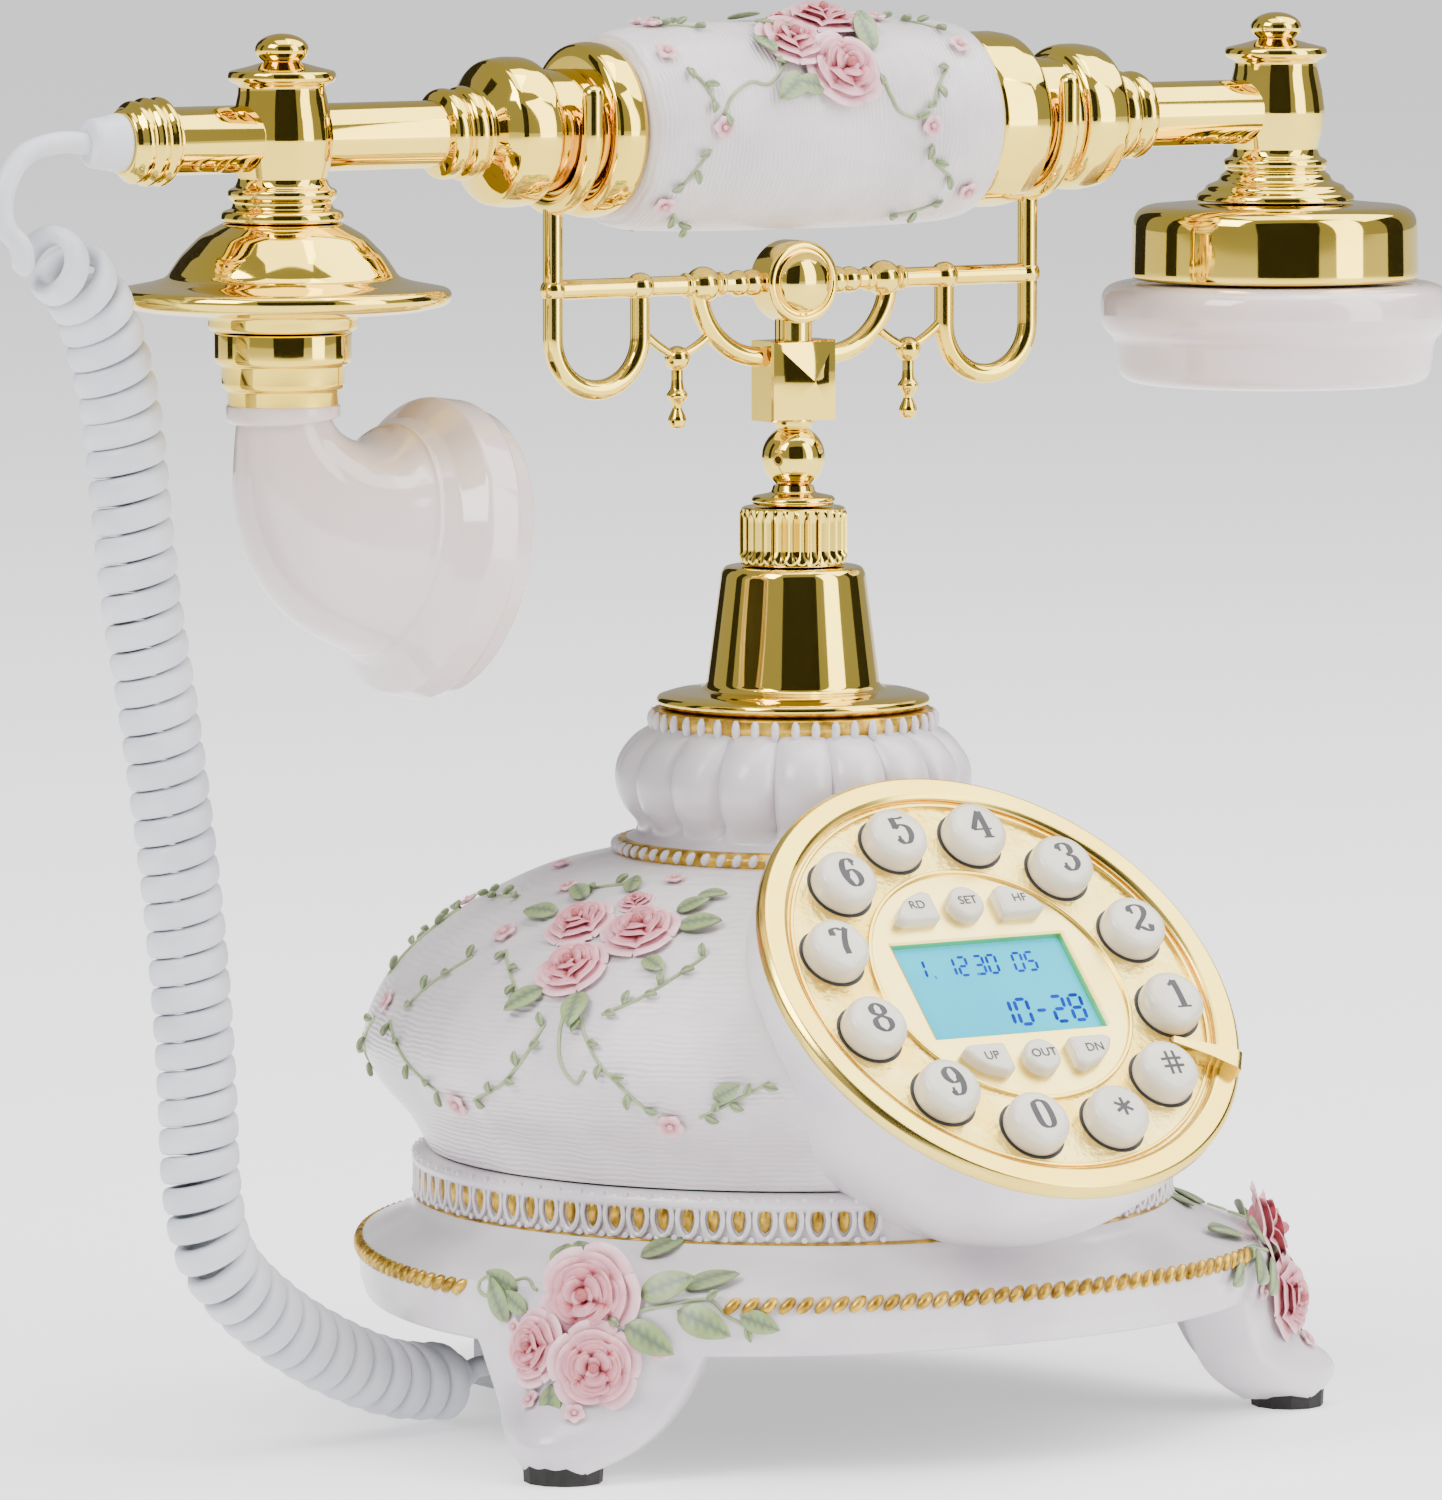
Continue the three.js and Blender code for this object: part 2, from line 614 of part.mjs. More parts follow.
/** The coil's middle line, which hangs from the tail and runs in under the plinth. */
const COIL_ROUTE = [
  [-146, -3, 196], [-139.5, -1.6, 194.2], [-132.4, 0.1, 186.6], [-127.2, 1.3, 171.6], [-125, 1.8, 155.6],
  [-122.8, 2.3, 139.5], [-119.6, 3, 123.4], [-116.8, 3.7, 107.4], [-114.4, 4.2, 91.2], [-112.6, 4.6, 75.3],
  [-111.4, 4.9, 59.2], [-110.4, 5.1, 43.1], [-106.6, 6, 32], [-96.4, 8.3, 22.6], [-83.6, 11.2, 15],
  [-70.6, 14.1, 9.6], [-60, 16.5, 7.6], [-53, 18, 7.4],
];
/** The tail from the coil to the plug. */
const LEAD_ROUTE = [[-54, 17.8, 7.4], [-51, 18.5, 8.6], [-48, 18.6, 9]];
const PLUG_FRONT = -38.3;

function curlyCord() {
  return joined(
    rod(TAIL_ROUTE, CORD_RADIUS, 8, 14),
    rod(COIL_ROUTE, COIL_RADIUS, 8, 26),
    rod(LEAD_ROUTE, CORD_RADIUS, 8, 3),
  );
}

// ---------- assembly ----------
const phone = new THREE.Group();

const base = new THREE.Group();
phone.add(base);
add(base, "plinth", plinth(), "resin");
for (const [name, degrees] of Object.entries(FOOT_ANGLES)) {
  add(base, "foot_" + name, foot(degrees * DEGREE), "resin");
  add(base, "pad_" + name, footPad(degrees * DEGREE), "rubber");
}
add(base, "bottom_cover", bottomCover(), "black_plastic");
add(base, "dome", dome(), "resin");
add(base, "bulb_collar", bulbCollar(), "resin");
add(base, "dial_pod", dialPod(), "resin");
add(base, "column_cone", columnCone(), "gold");
add(base, "fluted_collar", flutedCollar(), "gold");
add(base, "plunger_spring", plungerSpring(), "steel");
add(base, "hook_switch", hookSwitch(), "black_plastic");
add(base, "main_board", block([0, 15, 39], [62, 44, 1.6]), "board");
add(base, "ringer", bar(18, 23.3, 31, 20).translate(0, 12, 0), "steel");
add(base, "handset_jack", block([-31, 18.6, 12.4], [14, 15, 15.2]), "black_plastic");

const dial = new THREE.Group();
dial.position.copy(DIAL_CENTRE);
dial.rotation.x = DIAL_TILT;
base.add(dial);
add(dial, "dial_plate", dialPlate(), "gold_face");
add(dial, "dial_rim", dialRim(), "gold");
add(dial, "display_module", block([0, 0, -3.4], [DISPLAY.width, DISPLAY.height, 3.6]), "display");
add(dial, "key_board", bar(35.5, -9.8, -8.4, 28), "board");
for (const key of DIGIT_KEYS) {
  add(dial, "key_" + key.name, digitKey(key), "key");
}
for (const key of FUNCTION_KEYS) {
  add(dial, "function_" + key.name, functionKey(key), "key");
}

const cradle = new THREE.Group();
phone.add(cradle);
add(cradle, "cradle_post", cradlePost(), "gold");
add(cradle, "cradle_yoke", cradleYoke(), "gold");

const handset = new THREE.Group();
phone.add(handset);
add(handset, "grip_barrel", gripBarrel(), "resin");
add(handset, "grip_ring_left", gripRing(-1), "gold");
add(handset, "grip_ring_right", gripRing(1), "gold");
add(handset, "arm_left", armLeft(), "gold");
add(handset, "arm_right", armRight(), "gold");
add(handset, "tie_rod", pin([-96, 0, HANDSET_AXIS], [96, 0, HANDSET_AXIS], 2.9, 10), "steel");
add(handset, "stem_left", stem(-1, [[9.75, 199.5], [9.75, 201.4], [8, 201.8], [8, 203]]), "gold");
add(handset, "stem_right", stem(1, [[13.6, 197.8], [12.2, 199.2], [9.4, 201.4], [8.6, 203]]), "gold");
add(handset, "mouth_saucer", mouthSaucer(), "gold");
add(handset, "horn_collar", hornCollar(), "gold");
add(handset, "mouth_horn", mouthHorn(), "white_gloss");
add(handset, "microphone", microphone(), "black_plastic");
add(handset, "ear_shell", earShell(), "gold");
add(handset, "ear_cap", earCap(), "white_gloss");
add(handset, "receiver", bar(16, 172, 178, 20).translate(STEM_X, 0, 0), "steel");
add(handset, "cord_relief", pin([-ARM_END - GAP, 0, HANDSET_AXIS], [-133.2, 0, HANDSET_AXIS], 4.5, 12), "cord");

add(phone, "curly_cord", curlyCord(), "cord");
add(phone, "cord_plug", block([(PLUG_FRONT - 47.3) / 2, 18.6, 9], [47.3 + PLUG_FRONT, 11, 8]), "cord");

export default phone;
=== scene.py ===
"""Looks of an ornate push-button cradle telephone: cast resin base, gilt column and handset, curly cord.

Lengths are millimetres in the object's own frame until a mesh is made, which turns them to metres.
"""

import logging
import math
from collections.abc import Callable
from dataclasses import dataclass, field
from enum import Enum
from functools import partial

import bmesh
import bpy
import numpy as np
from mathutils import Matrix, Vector


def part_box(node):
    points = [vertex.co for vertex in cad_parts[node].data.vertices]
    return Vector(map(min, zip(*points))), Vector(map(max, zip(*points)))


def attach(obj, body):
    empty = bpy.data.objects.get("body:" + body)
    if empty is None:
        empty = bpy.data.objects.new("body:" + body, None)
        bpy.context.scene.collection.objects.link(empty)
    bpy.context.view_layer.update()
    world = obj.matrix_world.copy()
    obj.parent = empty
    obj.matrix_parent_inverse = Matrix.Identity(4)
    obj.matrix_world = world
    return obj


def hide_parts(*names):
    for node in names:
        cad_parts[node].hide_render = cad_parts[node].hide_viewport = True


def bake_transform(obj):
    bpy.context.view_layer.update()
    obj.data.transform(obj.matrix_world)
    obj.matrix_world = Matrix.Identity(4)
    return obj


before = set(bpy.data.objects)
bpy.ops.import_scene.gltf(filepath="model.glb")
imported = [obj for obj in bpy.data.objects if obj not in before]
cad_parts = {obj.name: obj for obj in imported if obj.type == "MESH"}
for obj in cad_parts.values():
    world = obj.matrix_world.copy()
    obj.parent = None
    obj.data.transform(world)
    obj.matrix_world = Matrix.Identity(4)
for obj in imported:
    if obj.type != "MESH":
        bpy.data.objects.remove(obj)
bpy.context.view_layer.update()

MM = 0.001
MERGE_DISTANCE = 1e-6  # in metres, for points of one place
TAU = 2 * math.pi
LOG = logging.getLogger("telephone")
Array = np.ndarray


# ---------- measures taken from the frame ----------
def span(node: str, axis: int) -> tuple[float, float]:
    """Lowest and highest coordinate of a frame node along an axis, in millimetres."""
    low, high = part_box(node)
    return low[axis] / MM, high[axis] / MM


def middle(node: str, axis: int) -> float:
    """Middle of a frame node along an axis, in millimetres."""
    return sum(span(node, axis)) / 2


HANDSET_AXIS = middle("grip_barrel", 2)
STEM_X = middle("stem_right", 0)
FORK_REACH = 2.2  # from the fork's middle to the yoke's outer side
FORK_X = span("cradle_yoke", 0)[1] - FORK_REACH
CRADLE_BAR = 187.1  # height of the crossbar, which has no node of its own
DIAL_TILT = math.radians(46)
DIAL_RADIUS = (span("dial_rim", 0)[1] - span("dial_rim", 0)[0]) / 2
DISPLAY_DEPTH = 3.4  # from the dial's face down to the display's middle
DIAL_CENTRE = np.array([
    0.0,
    middle("display_module", 1) - DISPLAY_DEPTH * math.sin(DIAL_TILT),
    middle("display_module", 2) + DISPLAY_DEPTH * math.cos(DIAL_TILT),
])
BOWL_DEPTH = 46.0
PLINTH_BOTTOM = span("plinth", 2)[0]
TOE_BOTTOM = 1.6
UPRIGHT = np.eye(3)
ORIGIN = (0.0, 0.0, 0.0)
LAID = (0.0, 0.0, HANDSET_AXIS)  # where the handset's own axis crosses the column


# ---------- shapes ----------
@dataclass
class Shape:
    """Points, faces and a paint colour for each point."""

    points: Array
    faces: list[Array]
    paint: Array | None = None

    def moved(self, turn: Array, place: Array) -> "Shape":
        """The shape turned by a 3x3 matrix (columns are its new axes) and then shifted."""
        return Shape(self.points @ np.asarray(turn, float).T + np.asarray(place, float), self.faces,
                     self.paint)

    def painted(self, colour: Array) -> "Shape":
        """The shape with one colour, or one colour for each point."""
        return Shape(self.points, self.faces, np.broadcast_to(colour, (len(self.points), 3)).copy())


def joined(shapes: list[Shape]) -> Shape:
    """All the shapes as one.

    Args:
        shapes: the shapes.

    Returns:
        One shape.
    """
    starts = np.cumsum([0] + [len(s.points) for s in shapes[:-1]])
    faces = [f + start for s, start in zip(shapes, starts) for f in s.faces]
    paint = None
    if all(s.paint is not None for s in shapes):
        paint = np.concatenate([s.paint for s in shapes])
    return Shape(np.concatenate([s.points for s in shapes]), faces, paint)


def repeated(shape: Shape, turns: Array, places: Array) -> Shape:
    """Copies of a small shape: each point is turned by each copy's matrix, then shifted to its place.

    Args:
        shape: the small shape round its own origin.
        turns: (n, 3, 3), with each copy's axes as columns.
        places: (n, 3).

    Returns:
        One shape of n copies.
    """
    points = np.einsum("nij,pj->npi", turns, shape.points) + places[:, None, :]
    offsets = np.arange(len(places)) * len(shape.points)
    faces = [(f[None] + offsets[:, None, None]).reshape(-1, f.shape[1]) for f in shape.faces]
    paint = None if shape.paint is None else np.tile(shape.paint, (len(places), 1))
    return Shape(points.reshape(-1, 3), faces, paint)


def skin(grid: Array, wrap_rows: bool = False, wrap_columns: bool = True) -> Shape:
    """Quads over a grid of points: columns run round anticlockwise, rows run up the outside.

    Args:
        grid: (rows, columns, 3) points.
        wrap_rows: join the last row to the first.
        wrap_columns: join the last column to the first.

    Returns:
        The surface.
    """
    rows, columns = grid.shape[:2]
    index = np.arange(rows * columns).reshape(rows, columns)
    if wrap_rows:
        index = np.vstack([index, index[:1]])
    if wrap_columns:
        index = np.hstack([index, index[:, :1]])
    quads = np.stack([index[:-1, :-1], index[:-1, 1:], index[1:, 1:], index[1:, :-1]], -1)
    return Shape(grid.reshape(-1, 3), [quads.reshape(-1, 4)])


def around(radius: Array, angle: Array, z: Array) -> Array:
    """Points at a radius and an angle round the Z axis, in radians, at a height."""
    x = radius * np.cos(angle)
    return np.stack([x, radius * np.sin(angle), z + 0 * x], -1)


def unit(vectors: Array) -> Array:
    """Rows of vectors scaled to length 1."""
    return vectors / np.linalg.norm(vectors, axis=1)[:, None]


def capped(rings: Array, middles: Array) -> Shape:
    """Rings in a row as one closed skin, drawn to the middle of the first and of the last."""
    ends = np.repeat(middles[[0, -1], None], rings.shape[1], axis=1)
    return skin(np.concatenate([ends[:1], rings, ends[1:]]))


def turned(profile: Array, segments: int = 96) -> Shape:
    """A turned surface about Z: each profile point [radius, z] is carried round a full circle.

    Args:
        profile: the points, from the bottom up.
        segments: columns round the axis.

    Returns:
        The surface.
    """
    profile = np.asarray(profile, float)
    angle = np.arange(segments) / segments * TAU
    return skin(around(profile[:, :1], angle, profile[:, 1:2]))


def rounded(knots: list, radius: float = 0.35, steps: int = 4) -> Array:
    """A profile with its corners rounded: at each corner an arc-like curve is blended between two cuts.

    The cut is the radius back along each side, or 0.45 of a shorter side, and the blend is the
    quadratic curve (1-t)^2 a + 2t(1-t) corner + t^2 b.

    Args:
        knots: the profile's corners.
        radius: length of the cut.
        steps: stretches in each corner.

    Returns:
        The profile.
    """
    knots = np.asarray(knots, float)
    points = [knots[:1]]
    t = np.linspace(0, 1, steps + 1)[:, None]
    for before, corner, after in zip(knots[:-2], knots[1:-1], knots[2:]):
        back, on = before - corner, after - corner
        lengths = np.linalg.norm(back), np.linalg.norm(on)
        a = corner + back / lengths[0] * min(radius, 0.45 * lengths[0])
        b = corner + on / lengths[1] * min(radius, 0.45 * lengths[1])
        points.append((1 - t) ** 2 * a + 2 * t * (1 - t) * corner + t**2 * b)
    points.append(knots[-1:])
    return np.concatenate(points)


def smooth(knots: list, per: int = 8) -> Array:
    """A smooth curve through the knots, by the Catmull-Rom rule with mirrored end points.

    Args:
        knots: the points.
        per: points for each stretch.

    Returns:
        The curve's points.
    """
    p = np.asarray(knots, float)
    p = np.vstack([2 * p[0] - p[1], p, 2 * p[-1] - p[-2]])
    t = (np.arange(per) / per)[:, None, None]
    a, b, c, d = p[:-3], p[1:-2], p[2:-1], p[3:]
    curve = 0.5 * (2 * b + (c - a) * t + (2 * a - 5 * b + 4 * c - d) * t**2 + (3 * b - a - 3 * c + d) * t**3)
    return np.vstack([curve.transpose(1, 0, 2).reshape(-1, p.shape[1]), p[-2:-1]])


def along(path: Array, section: Array, side: Array, scale: Array | None = None) -> Shape:
    """A closed bar: a section carried along a path, and drawn to a point in the middle of each end.

    Args:
        path: (n, 3) points.
        section: (k, 2) points, anticlockwise seen from the path's end.
        side: the direction that stays square to the path, such as the normal of its plane.
        scale: size of the section at each point, 1 if left out.

    Returns:
        The bar's surface.
    """
    tangent = unit(np.gradient(path, axis=0))
    first = np.asarray(side, float) - tangent * (tangent @ np.asarray(side, float))[:, None]
    first /= np.linalg.norm(first, axis=1)[:, None]
    second = np.cross(tangent, first)
    size = np.ones(len(path)) if scale is None else np.asarray(scale, float)
    rings = (
        path[:, None]
        + first[:, None] * (section[None, :, :1] * size[:, None, None])
        + second[:, None] * (section[None, :, 1:] * size[:, None, None])
    )
    return capped(rings, path)


def circle(radius: float, sides: int = 16) -> Array:
    """Points round a circle, anticlockwise."""
    angle = np.arange(sides) / sides * TAU
    return radius * np.stack([np.cos(angle), np.sin(angle)], -1)


def arc(centre: tuple, radius: float, start: float, end: float, count: int = 24) -> Array:
    """Points of an arc between two angles in degrees."""
    angle = np.radians(np.linspace(start, end, count))
    return np.stack([centre[0] + radius * np.cos(angle), centre[1] + radius * np.sin(angle)], -1)


def ball(radius: float, place: tuple, segments: int = 24, squash: float = 1.0) -> Shape:
    """A ball, or a flattened one, from a half circle turned about Z."""
    half = arc((0, 0), radius, -90, 90, segments // 2 + 1) * [1, squash]
    return turned(half, segments).moved(UPRIGHT, place)


X_AXIS = np.array([[0, 0, 1], [1, 0, 0], [0, 1, 0]], float)  # a turned piece's Z goes to +X
X_BACK = np.array([[0, 0, -1], [-1, 0, 0], [0, 1, 0]], float)  # and here to -X
Y_FRONT = np.array([[1, 0, 0], [0, 0, -1], [0, 1, 0]], float)  # and here to -Y
DIAL_TURN = np.array(
    [
        [1, 0, 0],
        [0, math.cos(DIAL_TILT), -math.sin(DIAL_TILT)],
        [0, math.sin(DIAL_TILT), math.cos(DIAL_TILT)],
    ]
)


def on_dial(shape: Shape) -> Shape:
    """A shape in the dial's frame, Z out of its face, put on the base."""
    return shape.moved(DIAL_TURN, DIAL_CENTRE)


def along_x(shape: Shape, x: float = 0.0) -> Shape:
    """A shape turned about Z, laid along the handset with its origin at x."""
    return shape.moved(X_AXIS, (x, 0, HANDSET_AXIS))


def dial_view(points: Array) -> tuple[Array, Array]:
    """Distance of points from the dial's axis, and their height over its face."""
    local = (points - DIAL_CENTRE) @ DIAL_TURN
    return np.linalg.norm(local[:, :2], axis=1), local[:, 2]


def outside_bowl(points: Array, margin: float = 2.0) -> Array:
    """Which points are clear of the dial's bowl.

    Args:
        points: (n, 3) points.
        margin: the clearance.

    Returns:
        True for each point that is clear.
    """
    reach, height = dial_view(points)
    bowl = (reach / (DIAL_RADIUS + margin)) ** 2 + (np.clip(height, None, 0) / (BOWL_DEPTH + margin)) ** 2
    return (bowl > 1) | (height > 12)


def mirrored(shape: Shape) -> Shape:
    """A shape mirrored to the other side of the column, with its faces turned back outwards."""
    return Shape(shape.points * [-1, 1, 1], [f[:, ::-1] for f in shape.faces], shape.paint)


# ---------- materials ----------
def linear(code: str) -> tuple[float, float, float]:
    """Linear colour of an sRGB hex code."""
    values = [int(code[i : i + 2], 16) / 255 for i in (0, 2, 4)]
    return tuple(v / 12.92 if v <= 0.04045 else ((v + 0.055) / 1.055) ** 2.4 for v in values)


def add(tree: bpy.types.NodeTree, kind: str, inputs: dict | None = None,
        **settings: object) -> bpy.types.Node:
    """Adds a shader node.

    Args:
        tree: the node tree.
        kind: the node's type without its "ShaderNode" start.
        inputs: values or output sockets for the node's inputs.
        **settings: the node's own settings, and ramp for the stops of a colour ramp.

    Returns:
        The node.
    """
    made = tree.nodes.new("ShaderNode" + kind)
    ramp = settings.pop("ramp", None)
    for name, value in settings.items():
        setattr(made, name, value)
    if ramp:
        stops = made.color_ramp.elements
        while len(stops) < len(ramp):
            stops.new(0.5)
        for stop, (place, code) in zip(stops, ramp):
            stop.position = place
            stop.color = (*linear(code), 1)
    for name, value in (inputs or {}).items():
        if isinstance(value, bpy.types.NodeSocket):
            tree.links.new(value, made.inputs[name])
        else:
            made.inputs[name].default_value = value
    return made


def per_mm(size: float) -> float:
    """Texture scale, in turns per metre, of a pattern whose grain is size millimetres."""
    return 1 / (size * MM)


@dataclass(frozen=True)
class Finish:
    """A real material: how it was made, and what that gives the eye.

    Its colour drifts between two shades over the drift size, and its surface has a fine grain.
    """

    name: str
    light: str
    dark: str
    roughness: float
    metallic: float = 0.0
    ior: float = 1.5
    coat: float = 0.0
    coat_roughness: float = 0.08
    drift: float = 18.0
    grain: float = 0.8
    grain_depth: float = 0.0
    smear: float = 0.0
    ridge: float = 0.0
    ridge_depth: float = 0.0
    ridge_along: str = "Z"
    painted: bool = False
    glow: float = 0.0
    transmission: float = 0.0
    subsurface: float = 0.0

    def height(self, tree: bpy.types.NodeTree, place: bpy.types.NodeSocket) -> bpy.types.NodeSocket | None:
        """The bump of the surface, in metres: grain, then brushed ridges.

        Args:
            tree: the node tree.
            place: coordinates on the piece.

        Returns:
            The output socket, or None for a smooth surface.
        """
        parts = []
        if self.grain_depth:
            noise = add(tree, "TexNoise", {"Vector": place, "Scale": per_mm(self.grain), "Detail": 3.0})
            parts.append((noise.outputs["Fac"], self.grain_depth))
        if self.ridge_depth:
            wave = add(
                tree,
                "TexWave",
                {"Vector": place, "Scale": per_mm(self.ridge) / TAU * 2, "Distortion": 5.0, "Detail": 3.0,
                 "Detail Scale": 0.6},
                bands_direction=self.ridge_along,
            )
            parts.append((wave.outputs["Fac"], self.ridge_depth))
        total = None
        for socket, depth in parts:
            scaled = add(tree, "Math", {0: socket, 1: depth * MM}, operation="MULTIPLY").outputs[0]
            total = scaled if total is None else add(tree, "Math", {0: total, 1: scaled}).outputs[0]
        return total

    def build(self) -> bpy.types.Material:
        """The material, made once and kept by name.

        Returns:
            The material.
        """
        if self.name in bpy.data.materials:
            return bpy.data.materials[self.name]
        material = bpy.data.materials.new(self.name)
        material.use_nodes = True
        tree = material.node_tree
        shader = tree.nodes["Principled BSDF"]
        place = add(tree, "TexCoord").outputs["Object"]
        cloud = add(tree, "TexNoise", {"Vector": place, "Scale": per_mm(self.drift), "Detail": 4.0})
        colour = add(
            tree, "ValToRGB", {"Fac": cloud.outputs["Fac"]}, ramp=[(0.34, self.dark), (0.62, self.light)]
        ).outputs["Color"]
        if self.painted:
            paint = add(tree, "Attribute", attribute_name="paint").outputs["Color"]
            colour = add(
                tree, "Mix", {"Factor": 0.9, "A": colour, "B": paint}, data_type="RGBA", blend_type="MULTIPLY"
            ).outputs["Result"]
        tree.links.new(colour, shader.inputs["Base Color"])
        if self.glow:
            tree.links.new(colour, shader.inputs["Emission Color"])
            shader.inputs["Emission Strength"].default_value = self.glow
        if self.smear:
            rough = add(
                tree, "MapRange",
                {"Value": cloud.outputs["Fac"], "To Min": self.roughness,
                 "To Max": self.roughness + self.smear},
            )
            tree.links.new(rough.outputs["Result"], shader.inputs["Roughness"])
        else:
            shader.inputs["Roughness"].default_value = self.roughness
        values = {
            "Metallic": self.metallic, "IOR": self.ior, "Coat Weight": self.coat,
            "Coat Roughness": self.coat_roughness, "Transmission Weight": self.transmission,
            "Subsurface Weight": self.subsurface, "Subsurface Scale": 2 * MM,
        }
        for name, value in values.items():
            shader.inputs[name].default_value = value
        bump = self.height(tree, place)
        if bump is not None:
            normal = add(tree, "Bump", {"Height": bump, "Distance": 1.0, "Strength": 1.0})
            tree.links.new(normal.outputs["Normal"], shader.inputs["Normal"])
        return material


# Pearl lacquer sprayed over cast polyresin: a soft satin white with lilac and cream clouds.
PEARL = Finish("pearl_lacquer_resin", "E0DADD", "CBC3CB", 0.28, coat=0.35, coat_roughness=0.16, drift=26,
               grain=0.7, grain_depth=0.03, subsurface=0.03)
# The same lacquer over combed resin: fine uneven lines catch the light.
COMBED = Finish("combed_pearl_resin", "E2DBDD", "CEC4CA", 0.32, coat=0.3, coat_roughness=0.18, drift=22,
                grain=0.4, grain_depth=0.02, ridge=0.9, ridge_depth=0.11)
COMBED_GRIP = Finish("combed_pearl_grip", "E4DDDD", "D0C5C8", 0.32, coat=0.3, coat_roughness=0.18, drift=20,
                     grain=0.4, grain_depth=0.02, ridge=0.8, ridge_depth=0.1, ridge_along="X")
# Mirror-polished gilt plating: deep yellow metal whose look is what it reflects.
GILT = Finish("polished_gilt_plating", "F7D95F", "F0CD4E", 0.04, metallic=1.0, drift=40, smear=0.03)
# Satin-plated dial face: paler, with soft glints.
SATIN_GILT = Finish("satin_gilt_face", "FBE58E", "F6DC7A", 0.26, metallic=1.0, drift=9, smear=0.08,
                    grain=0.45, grain_depth=0.02)
# Bright gilt of the dial's rim: polished, but softer than the column.
SATIN_RIM = Finish("buffed_gilt_rim", "F9DC70", "F2D05C", 0.17, metallic=1.0, drift=20, smear=0.05)
# Cast scrollwork in the dial's field: the same gilt over a worm-like relief.
SCROLL_GILT = Finish("cast_scroll_gilt", "FAE288", "EDCA5C", 0.28, metallic=1.0, drift=7, smear=0.08,
                     grain=1.3, grain_depth=0.28)
# Gold paint brushed on the raised trims, thin in places so that it is uneven.
GOLD_PAINT = Finish("antique_gold_paint", "D9B040", "8A6616", 0.34, metallic=0.75, drift=2.2,
                    grain=0.5, grain_depth=0.05)
# Warm white ABS, moulded and buffed: a clear gloss and a faint pink glow.
WARM_ABS = Finish("glossy_warm_abs", "E2D2D0", "D8C6C5", 0.1, coat=0.6, coat_roughness=0.03, drift=45,
                  subsurface=0.1)
# Cream ABS keycaps, semi-gloss, a little yellower than the case.
KEYCAP = Finish("cream_keycap_abs", "E6DFD0", "DAD1BF", 0.22, coat=0.25, drift=12, grain=0.5,
                grain_depth=0.004)
# Pad-printed ink: dark grey and slightly matt.
INK = Finish("pad_print_ink", "3A3A3E", "2C2C30", 0.5, drift=3)
# Hand-painted relief: each petal and leaf has its own colour, under a thin varnish.
RELIEF = Finish("hand_painted_relief", "FFFFFF", "EDE7E8", 0.4, coat=0.2, coat_roughness=0.25, drift=3,
                grain=0.4, grain_depth=0.05, painted=True, subsurface=0.03)
# Satin vinyl cord jacket, cool white.
VINYL = Finish("satin_vinyl_jacket", "D6D8DE", "C6C9D1", 0.4, drift=15, grain=0.3, grain_depth=0.006,
               subsurface=0.06)
RUBBER = Finish("moulded_black_rubber", "242321", "171615", 0.75, drift=4, grain=0.3, grain_depth=0.03)
# Fine-grained black plastic; also used for the dark rings of painted shade round the keys and the dark discs
# of painted shade in the ear holes.
DARK_PLASTIC = Finish("fine_grained_black_plastic", "2C2C2E", "202022", 0.5, drift=8, grain=0.3,
                      grain_depth=0.02)
STEEL = Finish("plated_steel", "C9CBCD", "A9ABAE", 0.28, metallic=1.0, drift=6, smear=0.1)
BOARD = Finish("green_solder_mask", "2F7A45", "1F5A33", 0.4, coat=0.4, drift=7)
# Lit liquid crystal cell: an even cyan glow, a little stronger towards one side.
CELL = Finish("back_lit_display", "00B4CC", "00A6C2", 0.5, ior=1.12, drift=30, glow=0.9)
SEGMENT = Finish("display_segment", "0A34B4", "062488", 0.5, ior=1.12, drift=3, glow=0.15)
CLEAR = Finish("clear_moulded_plug", "E8ECEE", "DDE2E4", 0.1, transmission=0.75, drift=9)

FLOOR = Finish("pale_studio_floor", "F6F6F7", "F5F5F6", 0.8, drift=400, glow=0.7)
CARD = Finish("black_card", "0A0A0A", "060606", 0.9, drift=200)


# ---------- making pieces ----------
@dataclass
class Maker:
    """Turns shapes into pieces that ride on bodies."""

    made: int = 0

    def piece(
        self,
        name: str,
        shape: Shape,
        finish: Finish,
        body: str,
        slot: str,
        replaces: tuple[str, ...] = (),
        sharp: float = 38.0,
    ) -> bpy.types.Object:
        """Makes one piece.

        Args:
            name: the piece's name.
            shape: its surface, in millimetres.
            finish: what it is made of.
            body: the body it rides on.
            slot: the record's material slot; not used.
            replaces: frame nodes that it stands for.
            sharp: edges over this angle, in degrees, stay sharp.

        Returns:
            The new object.
        """
        mesh = bpy.data.meshes.new(name)
        faces = [row for group in shape.faces for row in group.tolist()]
        mesh.from_pydata((shape.points * MM).tolist(), [], faces)
        if shape.paint is not None:
            layer = mesh.attributes.new("paint", "FLOAT_COLOR", "POINT")
            colours = np.hstack([shape.paint, np.ones((len(shape.paint), 1))])
            layer.data.foreach_set("color", colours.astype(np.float32).ravel())
        work = bmesh.new()
        work.from_mesh(mesh)
        bmesh.ops.remove_doubles(work, verts=work.verts, dist=MERGE_DISTANCE)
        work.to_mesh(mesh)
        work.free()
        mesh.polygons.foreach_set("use_smooth", np.ones(len(mesh.polygons), bool))
        mesh.set_sharp_from_angle(angle=math.radians(sharp))
        mesh.materials.append(finish.build())
        made = bpy.data.objects.new(name, mesh)
        bpy.context.scene.collection.objects.link(made)
        if body:
            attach(made, body)
        if replaces:
            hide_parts(*replaces)
        self.made += 1
        LOG.info("%s: %d faces, %s, on %s", name, len(mesh.polygons), finish.name, body)
        return made


